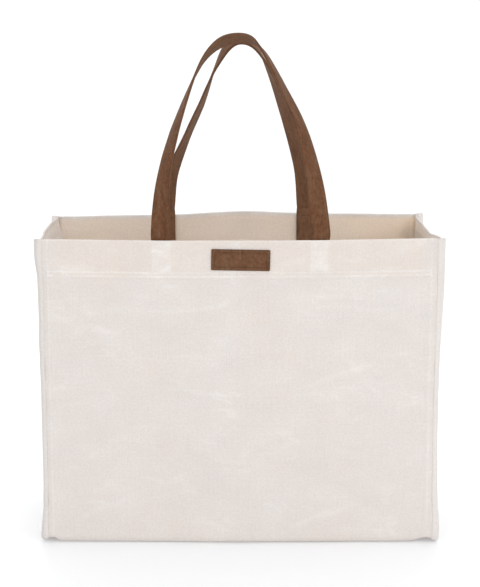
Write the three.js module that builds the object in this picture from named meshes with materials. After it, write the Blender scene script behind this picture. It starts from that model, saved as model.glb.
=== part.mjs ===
// Travel tote. One canvas strip makes the front, the base and the back. A gusset is sewn in at each side,
// and the two raw edges of that seam stand outwards as a flange, wrapped in a folded tape. Two leather
// handles are sewn inside the hem, and a small leather patch sits under the middle of the front rim.
// Millimetres, +Z up. The bag stands on z = 0, its front faces -Y and its middle is over the origin.
import * as THREE from "three";
import { mergeVertices } from "three/addons/utils/BufferGeometryUtils.js";

const { lerp, degToRad, radToDeg } = THREE.MathUtils;

// Driving dimensions
const RIM_HEIGHT = 411.5;
const SEAM_AT_RIM = 245;      // middle of the bag to a side seam
const SEAM_AT_FLOOR = 248;
const FOOT_RADIUS = 14;       // fold between a wall and the base
const CANVAS = 1.3;
const TAPE = 1.2;
const LEATHER = 3;
const SEWN_GAP = 0.3;         // clearance between two sewn layers
const HEM = 50;               // depth of the folded hem
const HEM_STEP = 1;           // run over which the second layer of the hem ends
const HEM_TO_SEAM = 5;        // the hem's second layer stops this far from a side seam
const FLANGE = 15;            // width of the seam allowance that stands outwards
const SPINE_FOOT = 8.5;       // height at which the rows of a gusset close up over the base
const TAPE_WIDTH = 8;         // how far the tape reaches over the flange
const STRAP_WIDTH = 25.4;
const STRAP_ROUNDING = 0.8;
const STRAP_ANCHOR = 42;      // length of a handle's end inside the bag
const STRAP_GAP = 0.5;        // clearance between a handle and the hem
const STRAP_LIFT = { rise: 14, lean: 0.8, turn: 9 };  // first bend of a handle above the rim
const PATCH = { width: 74.5, height: 28.5, thickness: 1.6, across: 0.6, up: 386.5, tilt: -1.2 };

// The two walls: the side they face, their plane at the side seams, how far they bow out of it at the rim
// and at the floor, and how far the right end of the rim stands further back than the middle
const WALLS = {
  front: { facing: -1, plane: -104.5, bowAtRim: 15, bowAtFloor: 7, skew: 0 },
  back: { facing: 1, plane: 83.5, bowAtRim: 18, bowAtFloor: 7, skew: 8 },
};
const BASE_MIDDLE = (WALLS.front.plane + WALLS.back.plane) / 2;

// Soft dents of the walls: the place on the wall, how far each reaches and how deep it is (minus swells out)
const DENTS = {
  front: [
    { across: -150, up: 255, reach: 70, depth: 2.6 },
    { across: -70, up: 105, reach: 60, depth: 3 },
    { across: 40, up: 215, reach: 85, depth: -2.4 },
    { across: 150, up: 80, reach: 60, depth: 2.8 },
    { across: 165, up: 245, reach: 65, depth: 2.2 },
  ],
  back: [
    { across: -120, up: 190, reach: 80, depth: 3 },
    { across: 30, up: 120, reach: 90, depth: -2.6 },
    { across: 150, up: 230, reach: 75, depth: 2.8 },
    { across: 8, up: RIM_HEIGHT, reach: 60, depth: -20 },
    { across: -101, up: RIM_HEIGHT, reach: 45, depth: 6 },
  ],
};

// How far the flange at each wall turns from straight outwards towards the gusset, by height
const FLANGE_TURNS = [
  { up: 0, front: 17, back: 17 },
  { up: FOOT_RADIUS, front: 24, back: 24 },
  { up: 75, front: 47, back: 40 },
  { up: 225, front: 53, back: 36 },
  { up: RIM_HEIGHT - HEM, front: 30, back: 6 },
  { up: RIM_HEIGHT, front: -15, back: -30 },
];

// Gussets: the side they close and how far they bow outwards at the middle of the rim
const GUSSETS = [
  { name: "left_gusset", side: -1, bow: 12 },
  { name: "right_gusset", side: 1, bow: 1.5 },
];

// Handles: the wall they are sewn to, where their ends meet the rim, and the sections of the arch between.
// A section's turn swings the strap about its length: 0 lies along the wall, 90 stands edge on to it.
const HANDLES = [
  {
    name: "front_handle", wall: "front", ends: [-100, 101],
    arch: [
      { across: -98, back: -101, rise: 62, turn: 44 },
      { across: -88, back: -80, rise: 114, turn: 62 },
      { across: -70, back: -55, rise: 168, turn: 76 },
      { across: -47, back: -33, rise: 220, turn: 99 },
      { across: -22, back: -21, rise: 244, turn: 111 },
      { across: 2, back: -18, rise: 248, turn: 112 },
      { across: 29, back: -25, rise: 234, turn: 98 },
      { across: 55, back: -46, rise: 188, turn: 77 },
      { across: 80, back: -73, rise: 130, turn: 56 },
      { across: 95, back: -99, rise: 70, turn: 36 },
    ],
  },
  {
    name: "back_handle", wall: "back", ends: [-101, 95],
    arch: [
      { across: -94, back: 81, rise: 56, turn: 46 },
      { across: -73, back: 66, rise: 112, turn: 70 },
      { across: -51, back: 47, rise: 158, turn: 82 },
      { across: -33, back: 29, rise: 202, turn: 97 },
      { across: -17, back: 17, rise: 232, turn: 106 },
      { across: 1, back: 12, rise: 242, turn: 108 },
      { across: 23, back: 15, rise: 234, turn: 100 },
      { across: 45, back: 33, rise: 194, turn: 84 },
      { across: 70, back: 58, rise: 126, turn: 62 },
      { across: 89, back: 83, rise: 60, turn: 40 },
    ],
  },
];

// Fineness of the faceted solids
const HEM_ROWS = 4;
const WALL_ROWS = 8;
const FOLD_ROWS = 3;
const BASE_ROWS = 2;
const PANEL_COLUMNS = 12;
const GUSSET_COLUMNS = 3;
const STRAP_STEPS = 4;        // steps between two sections of a handle
const PATCH_CELLS = { across: 8, up: 3 };

const MATERIALS = {
  canvas: { color: 0xe6ded7, roughness: 0.85, metalness: 0 },
  tape: { color: 0xdfd5cb, roughness: 0.88, metalness: 0 },
  leather: { color: 0x6e4a36, roughness: 0.6, metalness: 0 },
  patch: { color: 0x73513f, roughness: 0.7, metalness: 0 },
};

// A closed solid between two grids of points, one for each face of a sheet. The last row may be zipped: its
// two halves then lie on each other and need no edge. Quads in the crossed column split along their other
// diagonal.
function sheetSolid(faceA, faceB, { zipped = false, crossed = -1 } = {}) {
  const corners = [];
  const quad = (a, b, c, d) => corners.push(a, b, c, a, c, d);
  const lastRow = faceA.length - 1;
  const lastColumn = faceA[0].length - 1;
  for (let i = 0; i < lastRow; i++) {
    for (let j = 0; j < lastColumn; j++) {
      const a = [faceA[i][j], faceA[i][j + 1], faceA[i + 1][j + 1], faceA[i + 1][j]];
      const b = [faceB[i][j], faceB[i + 1][j], faceB[i + 1][j + 1], faceB[i][j + 1]];
      for (const cell of [a, b]) {
        if (j === crossed) cell.push(cell.shift());
        quad(...cell);
      }
    }
    quad(faceA[i][0], faceA[i + 1][0], faceB[i + 1][0], faceB[i][0]);
    quad(faceA[i + 1][lastColumn], faceA[i][lastColumn], faceB[i][lastColumn], faceB[i + 1][lastColumn]);
  }
  for (let j = 0; j < lastColumn; j++) {
    quad(faceA[0][j + 1], faceA[0][j], faceB[0][j], faceB[0][j + 1]);
    if (zipped) continue;
    quad(faceA[lastRow][j], faceA[lastRow][j + 1], faceB[lastRow][j + 1], faceB[lastRow][j]);
  }
  return solidGeometry(corners);
}

// Geometry of a closed set of triangles, with shared corners merged and every face pointing out
function solidGeometry(corners) {
  let volume = 0;
  for (let k = 0; k < corners.length; k += 3) {
    volume += corners[k].dot(new THREE.Vector3().crossVectors(corners[k + 1], corners[k + 2]));
  }
  const ordered = volume > 0 ? corners : corners.toReversed();
  const merged = mergeVertices(new THREE.BufferGeometry().setFromPoints(ordered));
  const index = [];
  for (let k = 0; k < merged.index.count; k += 3) {
    const triangle = [0, 1, 2].map((n) => merged.index.getX(k + n));
    if (new Set(triangle).size === 3) index.push(...triangle);
  }
  merged.setIndex(index);
  merged.computeVertexNormals();
  return merged;
}

// Middle of the bag to a side seam, at a height
function seamHalfWidth(up) {
  return lerp(SEAM_AT_FLOOR, SEAM_AT_RIM, up / RIM_HEIGHT);
}

// Outer face of a wall, as its Y at a place across the bag and a height
function wallFace(wallName, across, up) {
  const wall = WALLS[wallName];
  const share = across / seamHalfWidth(up);
  const height = up / RIM_HEIGHT;
  const arch = 1 - share ** 2;
  let bow = lerp(wall.bowAtFloor, wall.bowAtRim, height ** 2);
  for (const dent of DENTS[wallName]) {
    const distance = Math.hypot(across - dent.across, up - dent.up);
    bow -= dent.depth * Math.exp(-((distance / dent.reach) ** 2));
  }
  return wall.plane + wall.facing * bow * arch + wall.skew * share * height ** 2;
}

// Stations down one half of the strip: along a wall, round its fold and along the base to the middle
function halfStations() {
  const hemEnd = RIM_HEIGHT - HEM - HEM_STEP;
  const stations = [];
  for (let i = 0; i <= HEM_ROWS; i++) stations.push({ up: RIM_HEIGHT - HEM * (i / HEM_ROWS) });
  stations.push({ up: hemEnd });
  for (let i = 1; i <= WALL_ROWS; i++) stations.push({ up: lerp(hemEnd, FOOT_RADIUS, i / WALL_ROWS) });
  for (let i = 1; i <= FOLD_ROWS; i++) stations.push({ up: 0, fold: (i / FOLD_ROWS) * (Math.PI / 2) });
  for (let i = 1; i <= BASE_ROWS; i++) stations.push({ up: 0, fold: Math.PI / 2, base: i / BASE_ROWS });
  return stations.map((station) => ({ fold: 0, base: 0, ...station }));
}

const HALF = halfStations();
const STRIP = [
  ...HALF.map((station) => ({ ...station, wall: "front" })),
  ...HALF.slice(0, -1).reverse().map((station) => ({ ...station, wall: "back" })),
];

// The strip's outer face at a station: the point, and the direction into the bag
function stripFace(station, across) {
  const { wall, up, fold, base } = station;
  const facing = WALLS[wall].facing;
  const inward = new THREE.Vector3(0, -facing * Math.cos(fold), Math.sin(fold));
  if (up > FOOT_RADIUS) {
    return { point: new THREE.Vector3(across, wallFace(wall, across, up), up), inward };
  }
  const foot = wallFace(wall, across, FOOT_RADIUS);
  const turned = foot - facing * FOOT_RADIUS * (1 - Math.cos(fold));
  const back = lerp(turned, BASE_MIDDLE, base);
  return { point: new THREE.Vector3(across, back, FOOT_RADIUS * (1 - Math.sin(fold))), inward };
}

// A side seam at a station: where the two layers meet, the bag's inward direction, the side's outward
// direction, and the flange's own directions along its width and through its thickness
function seamFrame(station, side) {
  const height = station.fold > 0 ? FOOT_RADIUS * (1 - Math.sin(station.fold)) : station.up;
  const face = stripFace(station, side * seamHalfWidth(height));
  const outward = new THREE.Vector3(side, 0, 0);
  const above = Math.max(1, FLANGE_TURNS.findIndex((row) => row.up >= height));
  const [low, high] = [FLANGE_TURNS[above - 1], FLANGE_TURNS[above]];
  const share = (height - low.up) / (high.up - low.up);
  const turn = degToRad(lerp(low[station.wall], high[station.wall], share));
  const along = blend(outward, Math.cos(turn), face.inward, Math.sin(turn));
  const through = blend(face.inward, Math.cos(turn), outward, -Math.sin(turn));
  const origin = face.point.clone().addScaledVector(face.inward, CANVAS);
  return { origin, inward: face.inward, outward, along, through, turn };
}

// A sum of two directions, and a point at such a sum from an origin
function blend(first, firstShare, second, secondShare) {
  return first.clone().multiplyScalar(firstShare).addScaledVector(second, secondShare);
}

function offset(origin, first, firstDistance, second, secondDistance) {
  return blend(first, firstDistance, second, secondDistance).add(origin);
}

// The main panel's flange at a station, from its edge to the seam: points of the outer and the inner face
function panelFlange(station, side) {
  const { origin, inward, outward, along, through, turn } = seamFrame(station, side);
  const reaches = [FLANGE, FLANGE - TAPE_WIDTH];
  const outer = reaches.map((reach) => offset(origin, along, reach, through, -CANVAS));
  outer.push(offset(origin, outward, CANVAS * Math.tan(turn / 2), inward, -CANVAS));
  const inner = reaches.map((reach) => offset(origin, along, reach, through, 0));
  inner.push(origin);
  return { outer, inner };
}

// Front, base and back in one strip, with a second layer inside the hem at both rims
function mainPanel() {
  const outer = [];
  const inner = [];
  for (const station of STRIP) {
    const left = panelFlange(station, -1);
    const right = panelFlange(station, 1);
    const half = seamHalfWidth(station.up) - HEM_TO_SEAM;
    const columns = [{ across: -half, hemmed: false }];
    for (let j = 0; j <= PANEL_COLUMNS; j++) {
      columns.push({ across: lerp(-half + HEM_STEP, half - HEM_STEP, j / PANEL_COLUMNS), hemmed: true });
    }
    columns.push({ across: half, hemmed: false });
    const faces = columns.map((column) => {
      const { point, inward } = stripFace(station, column.across);
      const layers = column.hemmed && station.up >= RIM_HEIGHT - HEM ? 2 : 1;
      return { point, under: point.clone().addScaledVector(inward, CANVAS * layers) };
    });
    outer.push([...left.outer, ...faces.map((face) => face.point), ...right.outer.toReversed()]);
    inner.push([...left.inner, ...faces.map((face) => face.under), ...right.inner.toReversed()]);
  }
  return sheetSolid(outer, inner);
}

// Half a row of a gusset, from the edge of one flange to the middle of the gusset
function gussetHalfRow(station, spineUp, gusset) {
  const { origin, inward, outward, along, through, turn } = seamFrame(station, gusset.side);
  const far = SEWN_GAP + CANVAS;
  const reaches = [FLANGE, FLANGE - TAPE_WIDTH];
  const outer = reaches.map((reach) => offset(origin, along, reach, through, far));
  outer.push(offset(origin, inward, far / Math.cos(turn), outward, 0));
  outer.push(offset(origin, inward, far / Math.cos(turn) + HEM_STEP, outward, 0));
  const inner = reaches.map((reach) => offset(origin, along, reach, through, SEWN_GAP));
  inner.push(offset(origin, inward, SEWN_GAP / Math.cos(turn), outward, 0));
  inner.push(offset(origin, inward, SEWN_GAP, outward, -CANVAS));

  const edge = offset(origin, inward, HEM_TO_SEAM, outward, 0);
  const spine = new THREE.Vector3(edge.x, BASE_MIDDLE, spineUp);
  const hemStart = HEM_STEP / edge.distanceTo(spine);
  const shares = [{ share: 0, hemmed: false }];
  for (let j = 0; j <= GUSSET_COLUMNS; j++) {
    shares.push({ share: lerp(hemStart, 1, j / GUSSET_COLUMNS), hemmed: true });
  }
  for (const { share, hemmed } of shares) {
    const bow = gusset.bow * (station.up / RIM_HEIGHT) ** 2 * (1 - (1 - share) ** 4);
    const layers = hemmed && station.up >= RIM_HEIGHT - HEM ? 2 : 1;
    const point = edge.clone().lerp(spine, share).addScaledVector(outward, bow);
    outer.push(point);
    inner.push(point.clone().addScaledVector(outward, -CANVAS * layers));
  }
  return { outer, inner };
}

// A side of the bag: its rows run down from the rim and close up along the middle of the base
function gussetPanel(gusset) {
  const firstFold = HALF.findIndex((station) => station.fold > 0);
  const outer = [];
  const inner = [];
  HALF.forEach((station, i) => {
    const sunk = (i - firstFold + 1) / (HALF.length - firstFold);
    const spineUp = station.fold > 0 ? lerp(FOOT_RADIUS, SPINE_FOOT, sunk) : station.up;
    const front = gussetHalfRow({ ...station, wall: "front" }, spineUp, gusset);
    const back = gussetHalfRow({ ...station, wall: "back" }, spineUp, gusset);
    const rowOuter = [...front.outer, ...back.outer.toReversed().slice(1)];
    const rowInner = [...front.inner, ...back.inner.toReversed().slice(1)];
    outer.push(gusset.side < 0 ? rowOuter : rowOuter.reverse());
    inner.push(gusset.side < 0 ? rowInner : rowInner.reverse());
  });
  return sheetSolid(outer, inner, { zipped: true });
}

// Tape folded over the edge of a flange, all along the seam from one rim to the other
function seamTape(side) {
  const start = FLANGE - TAPE_WIDTH;
  const under = -CANVAS - SEWN_GAP;
  const over = CANVAS + 2 * SEWN_GAP;
  const profile = (reach, grown) => [
    { along: start, through: over + grown },
    { along: reach, through: over + grown },
    { along: reach, through: under - grown },
    { along: start, through: under - grown },
  ];
  const sweep = (section) => STRIP.map((station) => {
    const { origin, along, through } = seamFrame(station, side);
    const row = section.map((corner) => offset(origin, along, corner.along, through, corner.through));
    return side < 0 ? row : row.reverse();
  });
  const inside = sweep(profile(FLANGE + SEWN_GAP, 0));
  const outside = sweep(profile(FLANGE + SEWN_GAP + TAPE, TAPE));
  return sheetSolid(outside, inside, { crossed: side < 0 ? 0 : 2 });
}

// One end of a handle: its sections inside the hem, at the rim and just above it
function handleEnd(wallName, across, inwardSign) {
  const { facing } = WALLS[wallName];
  const seat = 2 * CANVAS + STRAP_GAP + LEATHER / 2;
  const onWall = (rise, lean, turn) => {
    const face = wallFace(wallName, across, RIM_HEIGHT + Math.min(rise, 0));
    return { across, back: face - facing * (seat + lean), rise, turn };
  };
  const [leftEdge, rightEdge] = [-1, 1].map((side) => (
    wallFace(wallName, across + side * (STRAP_WIDTH / 2), RIM_HEIGHT)
  ));
  const wallTurn = inwardSign * facing * radToDeg(Math.atan2(rightEdge - leftEdge, STRAP_WIDTH));
  return [
    onWall(-STRAP_ANCHOR, 0, wallTurn),
    onWall(0, 0, wallTurn),
    onWall(STRAP_LIFT.rise, STRAP_LIFT.lean, STRAP_LIFT.turn),
  ];
}

// A flat leather strap swept through its sections
function handleStrap(handle) {
  const [left, right] = handle.ends;
  const sections = [
    ...handleEnd(handle.wall, left, 1),
    ...handle.arch,
    ...handleEnd(handle.wall, right, -1).reverse(),
  ];
  const facing = new THREE.Vector3(0, WALLS[handle.wall].facing, 0);
  const smooth = (points) => new THREE.CatmullRomCurve3(points, false, "catmullrom", 0.5);
  const path = smooth(sections.map((row) => new THREE.Vector3(row.across, row.back, RIM_HEIGHT + row.rise)));
  const turns = smooth(sections.map((row) => new THREE.Vector3(row.turn, 0, 0)));
  const steps = (sections.length - 1) * STRAP_STEPS;
  const half = STRAP_WIDTH / 2;
  const profile = [
    { wide: -half, thick: LEATHER / 2 - STRAP_ROUNDING },
    { wide: -half + STRAP_ROUNDING, thick: LEATHER / 2 },
    { wide: half - STRAP_ROUNDING, thick: LEATHER / 2 },
    { wide: half, thick: LEATHER / 2 - STRAP_ROUNDING },
  ];
  const top = [];
  const bottom = [];
  for (let i = 0; i <= steps; i++) {
    const centre = path.getPoint(i / steps);
    const tangent = path.getTangent(i / steps);
    const turn = degToRad(turns.getPoint(i / steps).x);
    const inward = new THREE.Vector3().crossVectors(tangent, facing).multiplyScalar(-facing.y).normalize();
    const toward = new THREE.Vector3().crossVectors(inward, tangent).multiplyScalar(-facing.y);
    const across = blend(inward, Math.cos(turn), toward, Math.sin(turn));
    const normal = new THREE.Vector3().crossVectors(across, tangent).normalize();
    top.push(profile.map(({ wide, thick }) => offset(centre, across, wide, normal, thick)));
    bottom.push(profile.map(({ wide, thick }) => offset(centre, across, wide, normal, -thick)));
  }
  return sheetSolid(top, bottom);
}

// A leather patch laid on the bowed front, turned a little about its middle
function frontPatch() {
  const tilt = degToRad(PATCH.tilt);
  const outer = [];
  const inner = [];
  for (let i = 0; i <= PATCH_CELLS.up; i++) {
    const onFront = Array.from({ length: PATCH_CELLS.across + 1 }, (_, j) => {
      const x = PATCH.width * (j / PATCH_CELLS.across - 0.5);
      const z = PATCH.height * (i / PATCH_CELLS.up - 0.5);
      const across = PATCH.across + x * Math.cos(tilt) - z * Math.sin(tilt);
      const up = PATCH.up + x * Math.sin(tilt) + z * Math.cos(tilt);
      return new THREE.Vector3(across, wallFace("front", across, up) - SEWN_GAP, up);
    });
    inner.push(onFront);
    outer.push(onFront.map((point) => point.clone().setY(point.y - PATCH.thickness)));
  }
  return sheetSolid(outer, inner);
}

const tote = new THREE.Group();

function addPiece(name, geometry, finish) {
  const mesh = new THREE.Mesh(geometry, new THREE.MeshStandardMaterial({ ...MATERIALS[finish] }));
  mesh.name = name;
  tote.add(mesh);
}

addPiece("main_panel", mainPanel(), "canvas");
for (const gusset of GUSSETS) addPiece(gusset.name, gussetPanel(gusset), "canvas");
addPiece("left_seam_tape", seamTape(-1), "tape");
addPiece("right_seam_tape", seamTape(1), "tape");
for (const handle of HANDLES) addPiece(handle.name, handleStrap(handle), "leather");
addPiece("front_patch", frontPatch(), "patch");

export default tote;
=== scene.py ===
"""Looks of a canvas travel tote: cloth, tape, leather and thread, built round the bag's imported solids.

Lengths are in metres and table angles in degrees, in the frame of the solids: the bag stands on z = 0, its
front faces -Y and +X is on the right as the front is looked at.
"""

import math
from collections import namedtuple

import bmesh
import bpy
import numpy as np
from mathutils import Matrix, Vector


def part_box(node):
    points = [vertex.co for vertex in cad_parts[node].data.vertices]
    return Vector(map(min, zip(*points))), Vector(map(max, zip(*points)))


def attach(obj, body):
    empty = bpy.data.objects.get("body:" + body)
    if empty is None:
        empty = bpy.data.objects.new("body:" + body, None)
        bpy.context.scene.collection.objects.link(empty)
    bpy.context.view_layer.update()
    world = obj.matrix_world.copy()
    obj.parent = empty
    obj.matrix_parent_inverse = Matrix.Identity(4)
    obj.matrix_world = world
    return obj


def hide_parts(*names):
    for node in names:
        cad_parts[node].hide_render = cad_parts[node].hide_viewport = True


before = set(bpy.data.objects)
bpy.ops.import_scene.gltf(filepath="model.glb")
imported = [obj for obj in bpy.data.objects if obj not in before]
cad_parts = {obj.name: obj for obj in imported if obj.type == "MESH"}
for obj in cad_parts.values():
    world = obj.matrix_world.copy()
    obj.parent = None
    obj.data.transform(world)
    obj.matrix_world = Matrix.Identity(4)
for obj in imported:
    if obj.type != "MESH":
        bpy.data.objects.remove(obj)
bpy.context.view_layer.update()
PATCH_LOW, PATCH_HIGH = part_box("front_patch")
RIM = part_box("main_panel")[1].z

bl_info = {
    "name": "Travel tote",
    "version": (1, 0, 0),
    "blender": (4, 5, 0),
    "location": "View3D > Sidebar > Tote",
    "description": "Dresses the frame of a travel tote in canvas, tape, leather and thread",
    "category": "Add Mesh",
}

BODY = "root"
UV_NAME = "cloth"
WELD = 1e-6                 # points of a mesh that lie closer than this are one
TINY = 1e-12                # keeps a direction from having no length
X_AXIS = np.array([1.0, 0.0, 0.0])

# The two walls: the side they face, their plane at the side seams, how far they bow out of it at the rim and
# at the floor, and how far their right end stands further back than their middle there
Wall = namedtuple("Wall", "facing plane bow_at_rim bow_at_floor skew_at_rim skew_at_floor")
WALLS = {
    "front": Wall(-1, -0.1045, 0.015, 0.003, 0.0, -0.004),
    "back": Wall(1, 0.0835, 0.018, 0.007, 0.008, -0.003),
}
BASE_MIDDLE = (WALLS["front"].plane + WALLS["back"].plane) / 2

# How far a wall is worn, and its painted rim highlight: how far the hidden ends of the handles show, how pale
# the rim is painted as a highlight, and the depths below the rim between which that highlight fades
WearAndRimHighlight = namedtuple("WearAndRimHighlight", "strap rim fade")
WEAR_AND_RIM_HIGHLIGHT = {"front": WearAndRimHighlight(1.0, 0.5, (0.0005, 0.0045)), "back": WearAndRimHighlight(0.4, 1.0, (0.0030, 0.0080))}

# Soft dents of the walls: the place, how far each reaches and how deep it is (minus swells out)
Dent = namedtuple("Dent", "across up reach depth")
DENTS = {
    "front": [
        Dent(-0.150, 0.255, 0.070, 0.0026),
        Dent(-0.070, 0.105, 0.060, 0.0030),
        Dent(0.040, 0.215, 0.085, -0.0024),
        Dent(0.150, 0.080, 0.060, 0.0028),
        Dent(0.165, 0.245, 0.065, 0.0022),
    ],
    "back": [
        Dent(-0.120, 0.190, 0.080, 0.0030),
        Dent(0.030, 0.120, 0.090, -0.0026),
        Dent(0.150, 0.230, 0.075, 0.0028),
        Dent(0.008, RIM, 0.060, -0.0200),
        Dent(-0.101, RIM, 0.045, 0.0060),
    ],
}

# Fold marks left in the waxed cloth: the middle, the half length, the slope, how proud (above 0) or sunk they
# are and their half width
Crease = namedtuple("Crease", "across up length slope height width")
CREASES = {
    "front": [
        Crease(-0.110, 0.320, 0.110, 2, 0.00040, 0.0045),
        Crease(0.150, 0.322, 0.070, -1, 0.00040, 0.0045),
        Crease(-0.165, 0.206, 0.055, 1, -0.00040, 0.0040),
        Crease(-0.055, 0.211, 0.065, -2, 0.00048, 0.0045),
        Crease(-0.015, 0.115, 0.030, 0, 0.00040, 0.0040),
        Crease(0.135, 0.235, 0.055, 22, 0.00032, 0.0050),
        Crease(-0.190, 0.285, 0.035, -58, -0.00040, 0.0060),
        Crease(-0.075, 0.095, 0.070, -32, -0.00048, 0.0075),
        Crease(0.150, 0.070, 0.055, -28, -0.00048, 0.0070),
        Crease(0.110, 0.040, 0.060, 24, 0.00040, 0.0060),
        Crease(-0.180, 0.050, 0.050, 30, 0.00040, 0.0055),
    ],
    "back": [
        Crease(-0.060, 0.318, 0.130, -1, 0.00040, 0.0045),
        Crease(0.120, 0.208, 0.090, 2, 0.00048, 0.0045),
        Crease(-0.120, 0.112, 0.060, -26, -0.00048, 0.0070),
        Crease(0.150, 0.060, 0.060, 30, 0.00040, 0.0060),
        Crease(0.040, 0.260, 0.050, 48, -0.00032, 0.0060),
    ],
}

# Ripples: the run between bumps, how far they stand out and the seed of their places
Ripple = namedtuple("Ripple", "size height seed")
CRUMPLES = [Ripple(0.092, 0.0011, 11), Ripple(0.041, 0.0005, 23), Ripple(0.018, 0.00018, 37)]
BASE_SAG = Ripple(0.045, 0.0009, 51)
FLANGE_WAVE = Ripple(0.020, 0.0003, 61)
TAPE_WANDER = Ripple(0.022, 0.0003, 71)
TAPE_WAVE = Ripple(0.0065, 0.00014, 81)
STRAP_FRAY = Ripple(0.030, 0.012, 100)          # a share of the strap's width
STRAP_WAVE = Ripple(0.017, 0.00022, 101)
PATCH_GRAIN = Ripple(0.006, 0.00012, 131)
PUCKER_STRAY = Ripple(0.030, 3.0, 5)            # an angle
STRAP_RUB = Ripple(0.008, 0.30, 7)              # a paleness

# Soft ridges: the place on their run, the half width and the height
Ridge = namedtuple("Ridge", "place width height")

# The hem by depth below the rim: its two rows of stitches, the welts beside them and the shade under them
HEM_LINES = (0.0417, 0.0468)
HEM_WELTS = [
    Ridge(HEM_LINES[0] - 0.0022, 0.0016, 0.0002),
    Ridge(sum(HEM_LINES) / 2, 0.0014, 0.0003),
    Ridge(HEM_LINES[1] + 0.0020, 0.0014, 0.0002),
]
HEM_SHADE = Ridge(HEM_LINES[1] + 0.0032, 0.0016, 0.15)
STRAP_LINES = (0.0030, 0.0380)                  # the rows of stitches that hold a handle's end

# How far the flange at each wall turns from straight outwards towards the gusset, by height
FlangeTurn = namedtuple("FlangeTurn", "up front_left front_right back")
FLANGE_TURNS = [
    FlangeTurn(0.0, -6, -12, -6),
    FlangeTurn(0.014, 12, -6, 8),
    FlangeTurn(0.045, 37, 21, 30),
    FlangeTurn(0.075, 41, 32, 40),
    FlangeTurn(0.150, 42, 40, 40),
    FlangeTurn(0.225, 41, 39, 36),
    FlangeTurn(0.270, 35, 32, 27),
    FlangeTurn(0.300, 38, 23, 20),
    FlangeTurn(RIM - 0.050, 32, 0, 6),
    FlangeTurn(RIM, -15, -15, -24),
]

# Painted light on the inner face of the walls: the place along the wall, how far it reaches to either side,
# the depths below the rim at which it starts and is whole, and how pale (above 0, painted lit) or dark (below
# 0, painted shade) it is
Wax = namedtuple("Wax", "across reach start whole pale")
INNER_PAINTED_LIGHT = [
    Wax(-0.245, 0.060, -0.001, 0.000, 1.0),
    Wax(0.005, 0.045, 0.006, 0.012, -0.9),
    Wax(0.245, 0.016, 0.002, 0.014, -1.0),
    Wax(0.245, 0.018, 0.014, 0.030, -1.5),
]

# How far the inner face of the walls has the colour of the lining, which paints warm bounce light: all along,
# and more at two places near the right corner, where it warms the painted shade
LINING_EVEN = 0.6
LINING_PLACES = [Ridge(0.180, 0.050, 0.3), Ridge(0.240, 0.020, 0.5)]

# Gussets: the side they close, their bow at the middle of the rim, and their roll out of the flange at the
# front and at the back corner: how far out it goes and how far below the rim it fades. The painted light of
# the inner face is pale (above 0, painted lit) or dark (below 0, painted shade) from the front to the middle,
# and at the back corner. Warm is how far that face has the colour of the lining, with its painted warm bounce
# light.
Roll = namedtuple("Roll", "out down")
Gusset = namedtuple("Gusset", "node side bow front back wax warm")
GUSSETS = [
    Gusset("left_gusset", -1, 0.0120, Roll(0.009, 0.016), Roll(0.005, 0.018), (1, 1), 0.2),
    Gusset("right_gusset", 1, 0.0046, Roll(0.0185, 0.018), Roll(0.006, 0.055), (-2, -1), 0.7),
]

# The soft upright fold in the middle of a gusset: its half width and depth, how far it wanders and over what
# run, the heights that it lies between and how soft its ends are, and how pale it is
UprightFold = namedtuple("UprightFold", "width depth wander bend low high soft pale")
UPRIGHT = UprightFold(0.020, 0.0022, 0.006, 0.050, 0.050, RIM - 0.090, 0.040, 0.35)

# Seam tapes: the side they bind and how much painted shade their fold takes on the wall's side
Tape = namedtuple("Tape", "node side soil")
TAPES = [Tape("left_seam_tape", -1, 2.2), Tape("right_seam_tape", 1, 0.4)]

# Handles: their ends along the rim and the sections of the arch between. A section's turn swings the strap
# about its length: 0 lies along the wall, 90 stands edge on to it.
Section = namedtuple("Section", "across back rise turn")
Handle = namedtuple("Handle", "node wall ends arch")
HANDLES = [
    Handle("front_handle", "front", (-0.100, 0.101), [
        Section(-0.0978, -0.101, 0.0668, 47),
        Section(-0.0882, -0.080, 0.1146, 63),
        Section(-0.0700, -0.055, 0.1694, 80),
        Section(-0.0480, -0.033, 0.2182, 99),
        Section(-0.0216, -0.021, 0.2431, 119),
        Section(0.0098, -0.018, 0.2465, 117),
        Section(0.0291, -0.025, 0.2335, 87),
        Section(0.0555, -0.046, 0.1863, 73),
        Section(0.0800, -0.073, 0.1309, 56),
        Section(0.0945, -0.099, 0.0705, 36),
    ]),
    Handle("back_handle", "back", (-0.101, 0.095), [
        Section(-0.0935, 0.081, 0.0553, 46),
        Section(-0.0716, 0.066, 0.1097, 69),
        Section(-0.0499, 0.047, 0.1585, 75),
        Section(-0.0330, 0.029, 0.2028, 91),
        Section(-0.0161, 0.017, 0.2333, 108),
        Section(0.0022, 0.012, 0.2434, 108),
        Section(0.0229, 0.015, 0.2335, 98),
        Section(0.0439, 0.033, 0.1959, 79),
        Section(0.0700, 0.058, 0.1268, 54),
        Section(0.0884, 0.083, 0.0610, 41),
    ]),
]

# The first bend of a handle above the rim: how far it leans into the bag, its height and its turn
StrapLift = namedtuple("StrapLift", "lean rise turn")
STRAP_LIFT = StrapLift(0.0008, 0.014, 9)

# Rings of thread along a stitch: the share of its length, the height in thread diameters and the girth
StitchRing = namedtuple("StitchRing", "share rise girth")
STITCH = np.array([
    StitchRing(0.00, -0.70, 0.55),
    StitchRing(0.10, -0.05, 0.90),
    StitchRing(0.32, 0.27, 1.00),
    StitchRing(0.68, 0.27, 1.00),
    StitchRing(0.90, -0.05, 0.90),
    StitchRing(1.00, -0.70, 0.55),
])
STITCH_FILL = 0.74          # share of a stitch's length that shows
THREAD_SIDES = 6
THREAD_ENDS = [[3, 2, 1, 0], [0, 5, 4, 3]]      # the quads that close a ring of that many points


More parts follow.
